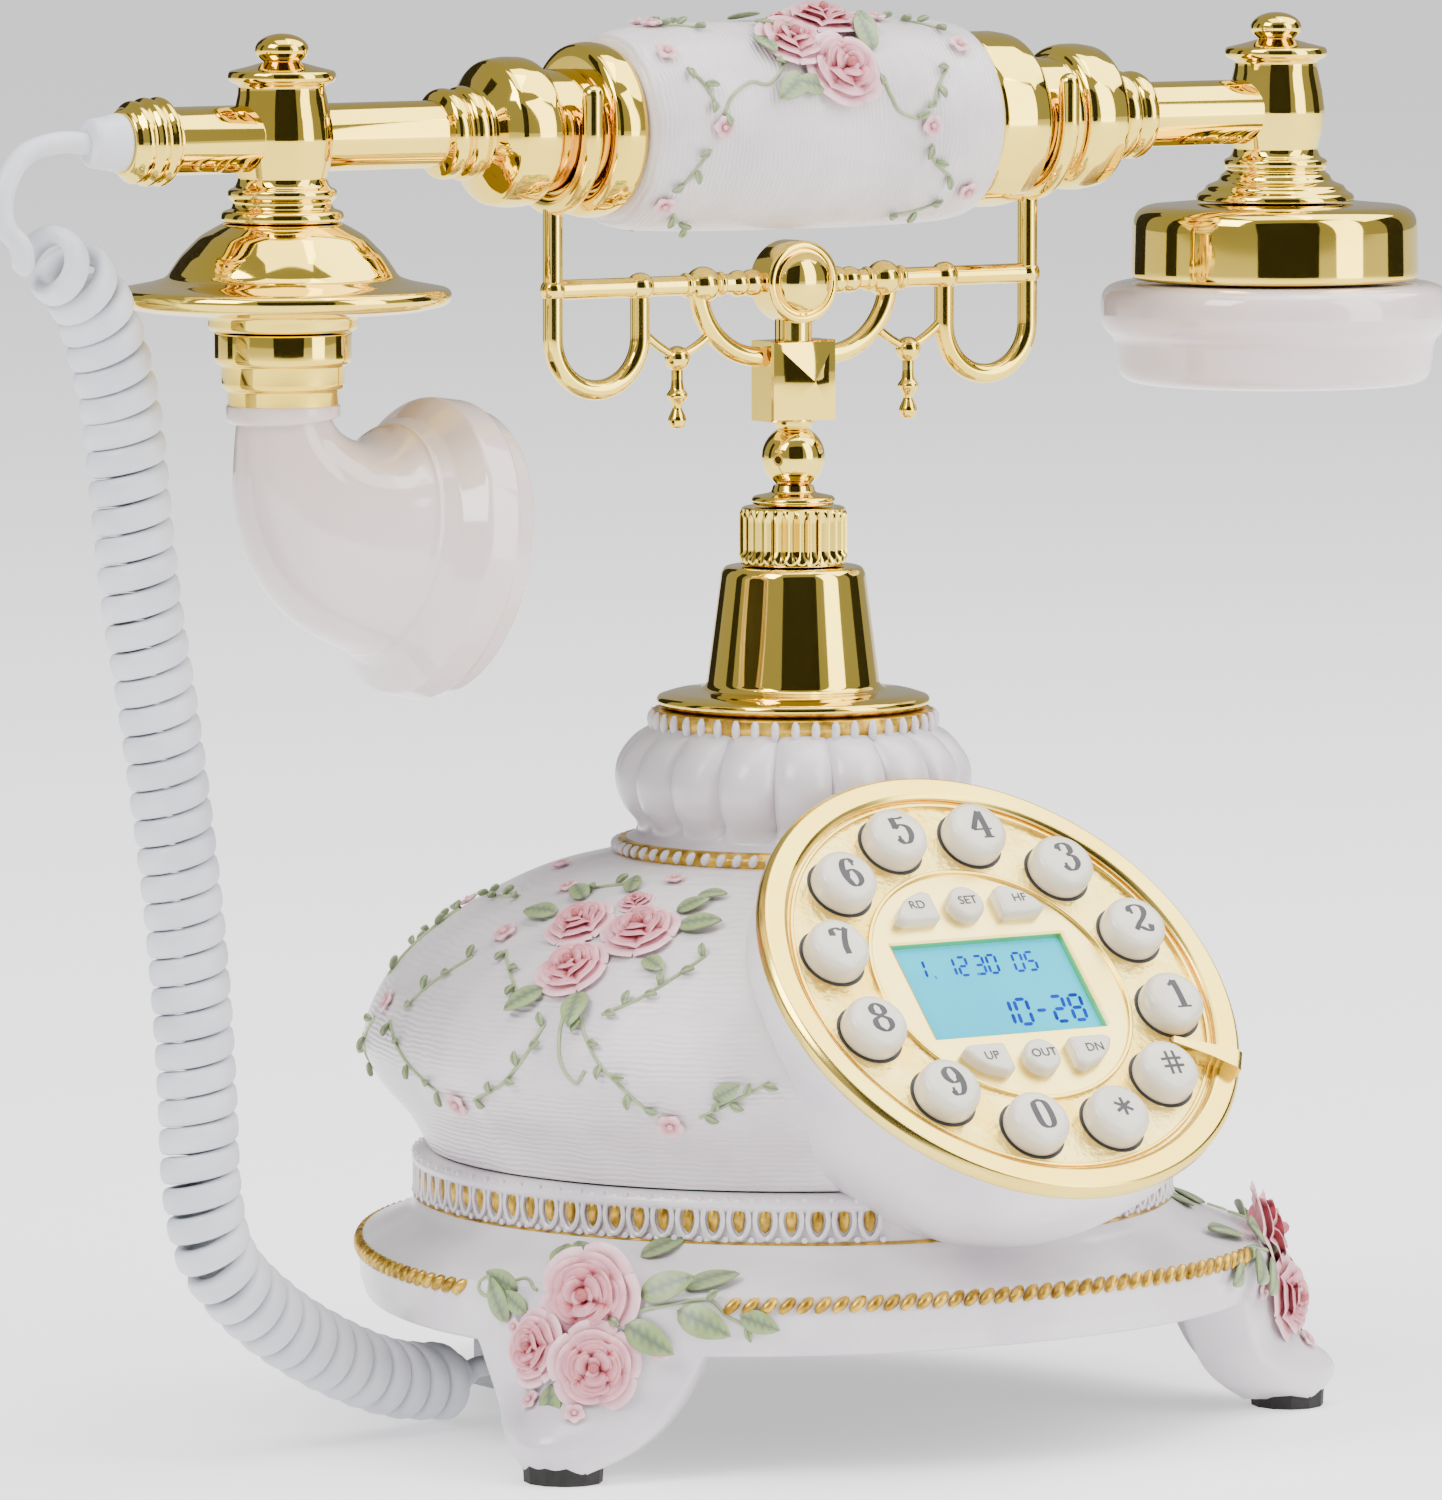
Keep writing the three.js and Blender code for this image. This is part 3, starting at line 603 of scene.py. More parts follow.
# ---------- curly cord ----------
@dataclass
class Cord:
    """The curly cord: a plain tail, the coil, and a lead into the plug under the base."""

    width: float = 4.4
    thickness: float = 2.9
    coil_radius: float = 6.5
    pitch: float = 4.62
    steps: int = 26  # points in each turn
    lead_in: float = 6.0  # the first turn starts this far before the coil's route
    loose_share: float = 0.62  # how much wider the first turns stand
    loose_reach: float = 17.0
    ease_in: float = 15.0  # lengths over which the coil's radius grows and shrinks
    ease_out: float = 5.0
    round_radius: float = 1.75
    coil_side: tuple = (-0.2212, 0.9752, 0.0)  # level, and square to the coil's route
    tail: list = field(
        default_factory=lambda: [
            [-133.5, 0, 212.9], [-139, 0, 213.2], [-145.5, -0.8, 211.4], [-149.5, -1.8, 206.4],
            [-150, -2.6, 200.6], [-146, -3, 196],
        ]
    )
    coil: list = field(
        default_factory=lambda: [
            [-146, -3, 196], [-139.5, -1.6, 194.2], [-132.4, 0.1, 186.6], [-127.2, 1.3, 171.6],
            [-125, 1.8, 155.6], [-122.8, 2.3, 139.5], [-119.6, 3, 123.4], [-116.8, 3.7, 107.4],
            [-114.4, 4.2, 91.2], [-112.6, 4.6, 75.3], [-111.4, 4.9, 59.2], [-110.4, 5.1, 43.1],
            [-106.6, 6, 32], [-96.4, 8.3, 22.6], [-83.6, 11.2, 15], [-70.6, 14.1, 9.6],
            [-60, 16.5, 7.6], [-53, 18, 7.4],
        ]
    )
    lead: list = field(default_factory=lambda: [[-54, 17.8, 7.4], [-51, 18.5, 8.6], [-48, 18.6, 9]])

    def helix(self) -> tuple[Array, Array, Array]:
        """The cord's middle line and, at each point, the direction away from the coil's own middle.

        The route's arc length s is divided into turns: with the first turns spread wider, the
        angle at s is 2 pi times the number of turns before s, and the radius grows from nothing
        over the first turn and shrinks to nothing over the last.

        Returns:
            The points, the directions, and at each point 0 for the round lead to 1 for the flat coil.
        """
        route = smooth(self.tail + self.coil[1:] + self.lead[1:], 24)
        s = np.concatenate([[0], np.cumsum(np.linalg.norm(np.diff(route, axis=0), axis=1))])
        start = s[np.argmin(np.linalg.norm(route - self.coil[0], axis=1))] - self.lead_in
        end = s[np.argmin(np.linalg.norm(route - self.coil[-1], axis=1))]
        density = 1 / self.pitch * (1 - self.loose_share * np.exp(-(((s - start) / self.loose_reach) ** 2)))
        density = np.where((s > start) & (s < end), density, 0)
        turns = np.concatenate([[0], np.cumsum(0.5 * (density[1:] + density[:-1]) * np.diff(s))])
        count = int(turns[-1] * self.steps)
        fine = np.concatenate([
            np.linspace(0, start, 24, endpoint=False),
            np.interp(np.linspace(0, turns[-1], count, endpoint=False), turns[turns > 0], s[turns > 0]),
            np.linspace(end, s[-1], 8),
        ])
        fine = np.unique(fine)
        spine = np.stack([np.interp(fine, s, route[:, i]) for i in range(3)], -1)
        tangent = np.gradient(spine, axis=0)
        columns = [np.pad(column, 12, "edge") for column in tangent.T]
        tangent = unit(np.stack([np.convolve(column, np.ones(25) / 25, "valid") for column in columns], -1))
        side = np.array(self.coil_side)
        second = np.cross(tangent, side)
        angle = TAU * np.interp(fine, s, turns) + math.pi / 2
        outward = side * np.cos(angle)[:, None] + second * np.sin(angle)[:, None]
        ease = np.clip((fine - start) / self.ease_in, 0, 1) * np.clip((end - fine) / self.ease_out, 0, 1)
        ease = ease * ease * (3 - 2 * ease)
        reach = (self.coil_radius - self.thickness / 2) * ease
        return spine + outward * reach[:, None], outward, ease

    def section(self) -> Array:
        """The flat cord's section: an oval, fuller than an ellipse.

        Returns:
            The section's points.
        """
        angle = np.arange(12) / 12 * TAU
        shape = np.stack([np.cos(angle), np.sin(angle)], -1)
        shape = np.sign(shape) * np.abs(shape) ** 0.75
        return shape * [self.thickness / 2, self.width / 2]

    def build(self, maker: Maker) -> None:
        """Makes the cord and gives its facts.

        Args:
            maker: makes the pieces.
        """
        path, outward, ease = self.helix()
        tangent = unit(np.gradient(path, axis=0))
        first = outward - tangent * np.sum(outward * tangent, 1)[:, None]
        first /= np.linalg.norm(first, axis=1)[:, None]
        second = np.cross(tangent, first)
        section = self.section()
        share = ease[:, None, None]
        section = section * share + circle(self.round_radius, len(section)) * (1 - share)
        rings = path[:, None] + first[:, None] * section[..., :1] + second[:, None] * section[..., 1:]
        cord = maker.piece("curly_cord_jacket", capped(rings, path), VINYL, "", "", sharp=80)
        length = float(np.linalg.norm(np.diff(path, axis=0), axis=1).sum()) * MM
        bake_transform(cord)
        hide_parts("curly_cord")
        LOG.info("cord length %.3f m", length)


# ---------- ornament ----------
@dataclass(frozen=True)
class Surface:
    """A surface round an axis, that ornaments lie on: its radius depends on the angle and the height."""

    radius: Callable[[Array, Array], Array]
    turn: Array = field(default_factory=lambda: np.eye(3))
    place: tuple = (0.0, 0.0, 0.0)

    def point(self, angle: Array, height: Array) -> Array:
        """Points of the surface in its own frame."""
        r = self.radius(angle, height)
        return around(r, angle, height)

    def at(self, angle: Array, height: Array, lift: float = 0.0) -> tuple[Array, Array]:
        """Places on the surface.

        Args:
            angle: angles round the axis, in degrees.
            height: heights along the axis.
            lift: distance off the surface.

        Returns:
            The points, and for each a 3x3 matrix with columns round, up and off the surface.
        """
        angle, height = np.broadcast_arrays(np.radians(np.atleast_1d(angle)),
                                            np.atleast_1d(np.asarray(height, float)))
        step = 0.02
        round_it = self.point(angle + step, height) - self.point(angle - step, height)
        up_it = self.point(angle, height + 0.4) - self.point(angle, height - 0.4)
        off = unit(np.cross(round_it, up_it))
        round_it = np.cross([0, 0, 1], off)
        round_it /= np.linalg.norm(round_it, axis=1)[:, None] + 1e-9
        axes = np.stack([round_it, np.cross(off, round_it), off], -1)
        points = self.point(angle, height) + off * lift
        return points @ self.turn.T + self.place, self.turn @ axes


def spun(axes: Array, angle: Array) -> Array:
    """Frames turned about their third axis by angles in radians."""
    c, s, o = np.cos(angle), np.sin(angle), 0 * angle
    return axes @ np.stack([c, -s, o, s, c, o, o, o, o + 1], -1).reshape(-1, 3, 3)


def blend_colours(a: str, b: str, share: Array) -> Array:
    """Linear colours between two hex codes, one for each share."""
    share = np.clip(np.asarray(share, float), 0, 1)[..., None]
    return np.array(linear(a)) * (1 - share) + np.array(linear(b)) * share


@dataclass(frozen=True)
class Florist:
    """Makes the small cast ornaments in their own frames, Z off the surface."""

    rose_deep: str = "A80020"
    rose_pale: str = "DD3C60"
    petal_edge: str = "F5C3CC"
    leaf_dark: str = "2C4E12"
    leaf_pale: str = "789440"

    def blade(self, length: float, width: float, thick: float, cup: float, curl: float,
              rows: int = 8) -> tuple:
        """A leaf or petal lying along +Y.

        Its half width is width/2 * sin(pi u^0.8)^0.75 at the share u of its length, the edges rise
        by the cup, the tip by the curl, and a shallow trough runs along the middle.

        Args:
            length: from its base to its tip.
            width: at its widest.
            thick: in its middle.
            cup: rise of its edges.
            curl: rise of its tip.
            rows: points along it.

        Returns:
            The shape, and each point's share along and across it.
        """
        u = np.linspace(0, 1, rows)[:, None]
        across = np.concatenate([np.linspace(-1, 1, 7), np.linspace(1, -1, 7)])[None]
        top = np.concatenate([np.ones(7), np.zeros(7)])[None]
        half = width / 2 * np.sin(math.pi * np.clip(u, 0.02, 0.985) ** 0.8) ** 0.75
        rise = cup * across**2 * np.sin(math.pi * u) + curl * u**2 + 0.25 * thick * np.abs(across)
        body = thick * (1 - 0.7 * across**2) * (0.35 + np.sin(math.pi * u) ** 0.5)
        grid = np.stack([half * across, length * u + 0 * across, rise + top * body], -1)
        grid[0], grid[-1] = grid[0].mean(0), grid[-1].mean(0)
        shares = np.stack([u + 0 * across, np.abs(across) + 0 * u, top + 0 * u], -1).reshape(-1, 3)
        return skin(grid), shares

    def leaf(self, length: float = 8.0, width: float = 4.4) -> Shape:
        """A veined leaf: dark along the midrib and seven side veins, pale between and at its edge, with
        painted shade on its under side.

        Args:
            length: from its base to its tip.
            width: at its widest.

        Returns:
            The leaf.
        """
        shape, s = self.blade(length, width, 0.8, 0.5, 0.6, 13)
        vein_and_shade = np.maximum(np.exp(-((s[:, 1] / 0.22) ** 2)),
                          0.7 * (np.cos(TAU * (6 * s[:, 0] - 1.2 * s[:, 1])) > 0.55))
        # The under side, facing the surface, is painted darker as shade under the leaf.
        vein_and_shade = np.maximum(vein_and_shade, 0.65 * (s[:, 2] < 0.5))
        return shape.painted(blend_colours(self.leaf_pale, self.leaf_dark, vein_and_shade))

    def blossom(self, radius: float = 2.2) -> Shape:
        """A small open flower: five petals, deep pink at the heart, and a raised middle.

        Args:
            radius: its radius.

        Returns:
            The blossom.
        """
        petal, s = self.blade(radius, radius * 1.05, 0.55, 0.35, 0.45, 6)
        petal = petal.painted(blend_colours(self.rose_deep, self.petal_edge, s[:, 0] ** 0.9 * 1.15))
        turn = np.arange(5) / 5 * TAU
        axes = spun(np.repeat(UPRIGHT[None], 5, 0), turn)
        middle_ball = ball(radius * 0.24, (0, 0, 0.8), 8).painted(np.array(linear("E9A0A8")))
        return joined([repeated(petal, axes, np.zeros((5, 3))), middle_ball])

    def rose_petal(self, turn: float, reach: float, height: float, span: float, layer: float) -> Shape:
        """One petal wrapped round the rose's heart.

        From base to rim, v from 0 to 1, its radius is reach (0.5 + 0.5 v), the last quarter curls
        outwards, and the rim is lower at the petal's two sides.

        Args:
            turn: its place round the heart, in radians.
            reach: its radius at the rim.
            height: its height.
            span: half its width, in radians.
            layer: 0 at the heart to 1 outside.

        Returns:
            The petal, for a rose of radius 1.
        """
        v = np.array([0, 0, 0.25, 0.5, 0.72, 0.86, 0.95, 1.0, 1.0])[:, None]
        side = np.linspace(-1, 1, 8)
        a = np.concatenate([side, side[::-1]])[None]
        thick = 0.09 * np.concatenate([np.ones(8), -np.ones(8)])[None]
        thick = thick * np.array([0, 1, 1, 1, 1, 0.9, 0.6, 0.35, 0])[:, None]
        curl = np.clip((v - 0.7) / 0.3, 0, 1) ** 2
        top = height * (1 - 0.3 * a**4) - 0.12 * curl
        r = reach * (0.5 + 0.5 * v**0.8) + 0.2 * curl * (0.4 + layer) + thick - 0.1 * reach * a**2 * layer
        angle = turn + a * span * (0.8 + 0.2 * np.sin(math.pi * v))
        grid = around(r, angle, top * v**0.9)
        tone = np.clip(0.78 * layer * v + 0.16 * v**3, 0, 1) + 0 * a
        pale = np.clip(1.5 * layer - 0.85, 0, 1) * (0.3 + 0.7 * v**2) + 0.5 * v**8 + 0 * a
        wash = blend_colours(self.rose_deep, self.rose_pale, tone)
        white = np.array(linear(self.petal_edge))
        pale = np.clip(pale, 0, 1)[..., None]
        return skin(grid).painted((wash * (1 - pale) + white * pale).reshape(-1, 3))

    def rose(self, radius: float) -> Shape:
        """A full rose: petals in four layers, each turned on by the golden angle.

        Args:
            radius: its radius.

        Returns:
            The rose.
        """
        layers = [(2, 0.17, 0.72, 1.6), (3, 0.33, 0.76, 1.2), (4, 0.52, 0.68, 0.95), (5, 0.74, 0.52, 0.78),
                  (5, 0.96, 0.32, 0.74)]
        petals, turn = [], 0.4
        for number, (count, reach, height, span) in enumerate(layers):
            for i in range(count):
                petals.append(self.rose_petal(turn + i / count * TAU, reach, height, span, number / 4))
            turn += math.radians(137.5)
        heart = ball(0.16, (0, 0, 0.6), 10, 1.2).painted(np.array(linear(self.rose_deep)))
        bed = ball(0.7, (0, 0, 0.1), 14, 0.4).painted(np.array(linear("D9486C")))
        made = joined([*petals, heart, bed])
        return Shape(made.points * radius, made.faces, made.paint)

    def vine(self, surface: Surface, route: list, leaves: int = 6, size: float = 2.6) -> Shape:
        """A thin stem along a route of [angle, height], with small leaves to both sides in turn.

        Args:
            surface: what it lies on.
            route: places in degrees and millimetres.
            leaves: number of leaves.
            size: length of a leaf.

        Returns:
            The vine, without what would lie inside the dial's bowl.
        """
        line = smooth(route, 10)
        points, axes = surface.at(line[:, 0], line[:, 1], 0.1)
        clear = outside_bowl(points)
        points, axes, line = points[clear], axes[clear], line[clear]
        if len(points) < 4:
            return Shape(np.zeros((0, 3)), [np.zeros((0, 4), int)], np.zeros((0, 3)))
        stem = along(points, circle(0.32, 6), axes[len(axes) // 2, :, 2])
        stem = stem.painted(np.array(linear("8FA266")))
        if not leaves:
            return stem
        pick = np.linspace(1, len(line) - 2, leaves).astype(int)
        tangent = np.gradient(points, axis=0)[pick]
        frames = axes[pick]
        heading = np.arctan2(
            np.einsum("ni,ni->n", tangent, frames[:, :, 1]), np.einsum("ni,ni->n", tangent, frames[:, :, 0])
        )
        lean = np.where(np.arange(leaves) % 2, 0.75, -0.75)
        sprout = repeated(self.leaf(size, size * 0.5), spun(frames, heading - math.pi / 2 + lean),
                          points[pick])
        return joined([stem, sprout])

    def placed(self, shape: Shape, surface: Surface, spots: list, lift: float = 0.0) -> Shape:
        """Copies of a shape at spots of [angle, height, spin in degrees, size].

        Args:
            shape: the shape.
            surface: what it lies on.
            spots: the spots.
            lift: distance off the surface.

        Returns:
            The copies, without those inside the dial's bowl.
        """
        spots = np.asarray(spots, float)
        points, axes = surface.at(spots[:, 0], spots[:, 1], lift)
        clear = outside_bowl(points, 4)
        points, axes, spots = points[clear], axes[clear], spots[clear]
        axes = spun(axes, np.radians(spots[:, 2])) * spots[:, 3][:, None, None]
        return repeated(shape, axes, points)


# ---------- base ----------
@dataclass
class Casting:
    """The cast base: three-lobed plinth and feet in one, with its trims."""

    lobe: float = 6.1
    neck: float = 62.3

    def lobes(self, angle: Array) -> Array:
        """1 in line with a foot and 0 between two feet."""
        return (1 + np.cos(3 * (angle - math.pi / 2))) / 2

    def offset(self, angle: Array) -> Array:
        """Distance round the edge from the nearest foot's middle, either side."""
        step = TAU / 3
        return 80 * ((angle - math.pi / 2 + step / 2) % step - step / 2)

    def skirt(self, angle: Array, z: Array) -> Array:
        """Outer radius of the plinth's edge and of the feet under it.

        Off the feet it is the lobed edge. Towards a foot's middle it swells to the knee, draws in
        under it and turns out to the toe, by the table of heights and radii, in a bell curve 11 wide.

        Args:
            angle: angles in radians.
            z: heights.

        Returns:
            The radii.
        """
        t = self.lobes(angle)
        table_z = [20, 23, 27, 29.8, 32, 34.2, 36.8, 41.8, 44.4]
        plain = np.interp(z, table_z, [70.6, 71.6, 71.9, 71.2, 66.8, 63.4, 62.2, 62.4, 60.2])
        lobe = np.interp(z, table_z, [6.1, 6.1, 6.1, 6.1, 4, 2, 0, 0, 0])
        plinth = plain + lobe * t
        knee = np.interp(z, [3.3, 4.4, 6.5, 8.4, 10.5, 14, 20, 27.5, 31],
                         [88.6, 90.0, 90.4, 89.4, 86.4, 83.2, 82.4, 79.5, 73])
        share = np.exp(-((self.offset(angle) / 11.5) ** 2)) * np.clip((33 - z) / 4, 0, 1)
        return plinth + np.maximum(knee - plinth, 0) * share

    def low(self, angle: Array) -> Array:
        """Height of the skirt's lower edge: 20 between the feet, falling in a curve to the toes."""
        x = np.clip((np.abs(self.offset(angle)) - 5.0) / 16.5, 0, 1)
        return TOE_BOTTOM + (PLINTH_BOTTOM - TOE_BOTTOM) * (0.35 * x**0.6 + 0.65 * x**2) ** 1.25

    def body(self) -> Shape:
        """The plinth and feet: rows from the neck's inside over the top and down outside, then up within.

        Returns:
            The casting.
        """
        angle = np.arange(720) / 720 * TAU
        low = self.low(angle)
        share = np.linspace(0, 1, 22)[:, None]
        down_z = 27 - (27 - low) * share
        down_r = self.skirt(angle[None] + 0 * down_z, down_z)
        curl = np.clip((share - 0.92) / 0.08, 0, 1) ** 2
        down_r = down_r - 0.8 * curl
        band = np.array([36.8, 36.0, 35.2, 34.4, 33.6, 32.9, 32.2, 31.6, 31.0, 30.4, 29.8, 29.2, 28.4])[:,
                                                                                                        None]
        band = band + 0 * angle
        top_z = np.array([44.4, 44.1, 43.3, 42.4, 41.8, 41.3, 37.4])[:, None] + 0 * angle
        top_r = np.array([60.0, 61.6, 62.9, 63.1, 62.7, 62.0, 62.0])[:, None] + 0 * angle
        band_r = self.skirt(angle[None] + 0 * band, band)
        foot = np.exp(-((self.offset(angle) / 13) ** 2))
        inside = 64.5 + (75.3 - 64.5) * foot
        in_z = np.stack([low, low + 0.6, np.maximum(low, 12) + 2, 24 + 0 * low, 40 + 0 * low])
        in_r = np.stack([inside + 0.8, inside, inside - 1 + foot, 63.5 + 4 * foot, 56 + 0 * foot])
        z = np.concatenate([top_z, band, down_z, in_z])[::-1]
        r = np.concatenate([top_r, band_r, down_r, in_r])[::-1]
        return skin(around(r, angle, z), wrap_rows=True)

    def ring_spots(self, pitch: float, radius: float, skip: Callable[[Array], Array]) -> Array:
        """Angles of a row of ornaments with a whole number of pitches, without those that skip says.

        Args:
            pitch: distance between two.
            radius: the ring's radius.
            skip: says which angles are left out.

        Returns:
            The angles, in degrees.
        """
        count = int(round(TAU * radius / pitch))
        angle = np.arange(count) / count * TAU
        return np.degrees(angle[~skip(angle)])

    def build(self, maker: Maker) -> None:
        """Makes the casting, the rope along its edge and the eyelet band round its neck.

        Args:
            maker: makes the pieces.
        """
        maker.piece(
            "cast_plinth_and_feet", self.body(), PEARL, "base", "resin",
            ("plinth", "foot_front_left", "foot_front_right", "foot_rear"), 50,
        )
        surface = Surface(self.skirt)
        angle = self.ring_spots(2.9, 76, lambda a: np.abs(self.offset(a)) < 24)
        points, axes = surface.at(angle, 28.4, 0.25)
        bead = ball(1.25, ORIGIN, 10, 0.75)
        bead = Shape(bead.points * [1.5, 0.78, 1], bead.faces).painted(np.ones(3))
        tilt = np.full(len(angle), 0.75)
        maker.piece("plinth_rope", repeated(bead, spun(axes, tilt), points), GOLD_PAINT, "base", "resin")
        neck = Surface(lambda a, z: np.full(np.shape(a), self.neck))
        angle = self.ring_spots(4.2, self.neck, lambda a: np.abs(a - 1.5 * math.pi) < math.radians(21))
        points, axes = neck.at(angle, 40.3, -0.1)
        turn = np.arange(14) / 14 * TAU
        oval = np.stack([1.7 * np.cos(turn), 3.1 * np.sign(np.sin(turn)) * np.abs(np.sin(turn)) ** 1.2,
                         0.3 + 0 * turn], -1)
        loop = self.loop(oval, circle(0.42, 6))
        maker.piece("neck_eyelets", repeated(loop, axes, points), PEARL, "base", "resin")
        almond = ball(0.85, (0, 0, 0.1), 8, 0.7)
        almond = Shape(almond.points * [1.15, 2.6, 1], almond.faces)
        maker.piece("neck_almonds", repeated(almond, axes, points), GOLD_PAINT, "base", "resin")
        small = ball(0.6, (0, 3.2, 0.3), 6)
        beads = joined([small, Shape(small.points * [1, -1, 1], [f[:, ::-1] for f in small.faces])])
        between = neck.at(angle + 180 / math.pi * 2.1 / self.neck, 40.3, 0.0)
        maker.piece("neck_beads", repeated(beads, between[1], between[0]), PEARL, "base", "resin")
        groove = turned([[61.6, 36.2], [62.7, 36.2], [62.9, 36.45], [62.6, 36.7], [61.6, 36.7]], 240)
        maker.piece("neck_line_low", groove, GOLD_PAINT, "base", "resin")

    def loop(self, path: Array, section: Array) -> Shape:
        """A closed ring: a section carried round a closed flat path whose normal is Z.

        Args:
            path: the closed path.
            section: the section's points.

        Returns:
            The ring.
        """
        tangent = unit(np.roll(path, -1, 0) - np.roll(path, 1, 0))
        first = np.tile([0.0, 0.0, 1.0], (len(path), 1))
        second = np.cross(tangent, first)
        rings = path[:, None] + first[:, None] * section[None, :, :1] + second[:, None] * section[None, :, 1:]
        return skin(rings, wrap_rows=True)


@dataclass
class Dome:
    """The domed body and the gadrooned bulb on it, with their bead rings."""

    lobe_count: int = 18
    lobe_depth: float = 2.3
    outline: list = field(
        default_factory=lambda: [
            [60.4, 44.7], [63.5, 50.2], [68.5, 56], [71, 62.5], [68.6, 70], [63.5, 76.6], [53.6, 84],
            [42.2, 89.8], [29.5, 93.1],
        ]
    )
    bulb: list = field(
        default_factory=lambda: [
            [29.2, 93.5], [28.6, 95.0], [26.0, 96.6], [26.4, 98.6], [28.6, 101.4], [29.6, 105], [28.9, 108.8],
            [26.3, 112.2], [22.6, 114.6], [21.6, 116.6],
        ]
    )

    def surface(self) -> Surface:
        """The dome's side, for ornaments."""
        curve = smooth(self.outline, 12)
        return Surface(lambda a, z: np.interp(z, curve[:, 1], curve[:, 0]) + 0 * a)

    def bulb_body(self) -> Shape:
        """The bulb: each of its lobes is an ellipse across, with a sharp valley between two lobes.

        Returns:
            The bulb.
        """
        curve = smooth(self.bulb, 6)
        count = self.lobe_count * 14
        angle = np.arange(count) / count * TAU
        across = 2 * ((angle * self.lobe_count / TAU + 0.5) % 1) - 1
        z = curve[:, 1]
        weight = np.clip((z - 96.8) / 2.6, 0, 1) * np.clip((115.2 - z) / 3.0, 0, 1)
        depth = self.lobe_depth * weight[:, None] * (1 - np.sqrt(1 - 0.93 * across**2)) / 0.735
        r = curve[:, :1] - depth
        grid = around(r, angle, z[:, None])
        caps = grid[[0, -1]] * [0, 0, 1]
        return skin(np.concatenate([caps[:1], grid, caps[1:]]))

    def beads(self, count: int, radius: float, z: float, shape: Shape) -> Shape:
        """A ring of one shape.

        Args:
            count: number of copies.
            radius: the ring's radius.
            z: the ring's height.
            shape: what is repeated.

        Returns:
            The ring.
        """
        wall = Surface(lambda a, h: np.full(np.shape(a), radius))
        points, axes = wall.at(np.arange(count) / count * 360, z)
        return repeated(shape, axes, points)

    def build(self, maker: Maker) -> None:
        """Makes the dome, the bulb and their trims.

        Args:
            maker: makes the pieces.
        """
        curve = smooth(self.outline, 12)
        profile = np.vstack([[[0, 44.7]], curve, [[0, 93.1]]])
        body = turned(profile, 256)
        reach, height = dial_view(body.points)
        sink = np.maximum(height + 12, 0) * np.clip((DIAL_RADIUS - 1.6 - reach) / 4, 0, 1)
        body.points -= sink[:, None] * DIAL_TURN[:, 2]
        maker.piece("dome_body", body, COMBED, "base", "resin", ("dome",), 60)
        maker.piece("gadrooned_bulb", self.bulb_body(), PEARL, "base", "resin", ("bulb_collar",), 50)
        low = ball(1.0, ORIGIN, 10)
        low = Shape(low.points * [0.85, 1.15, 1], low.faces)
        tilt = spun(UPRIGHT[None], np.array([-0.45]))[0]
        maker.piece("bulb_foot_beads", self.beads(66, 29.2, 94.3, low.moved(tilt, ORIGIN)), PEARL, "base",
                    "resin")
        foot = rounded([[27, 93.0], [29.4, 93.0], [29.7, 94.4], [28.6, 95.6], [27, 95.6]])
        maker.piece("bulb_foot_gold", turned(foot, 160), GOLD_PAINT, "base", "resin")
        high = ball(0.95, ORIGIN, 10)
        high = Shape(high.points * [0.8, 1.9, 1], high.faces)
        maker.piece("bulb_neck_beads", self.beads(44, 23.2, 115.0, high), PEARL, "base", "resin")
        neck = rounded([[20, 113.6], [22.8, 113.7], [23.3, 115], [23.2, 116.7], [20, 116.9]])
        maker.piece("bulb_neck_gold", turned(neck, 160), GOLD_PAINT, "base", "resin")


# ---------- painted sprays ----------
@dataclass(frozen=True)
class Spray:
    """A spray's ornaments, as rows of (first, second, spin in degrees, size), and its vines.

    The first two numbers are a step round the surface and a height, or on the grip a distance along
    it and a rise over the horizon. Each vine is a route and its number of leaves.
    """

    roses: list
    leaves: list
    buds: list
    vines: list


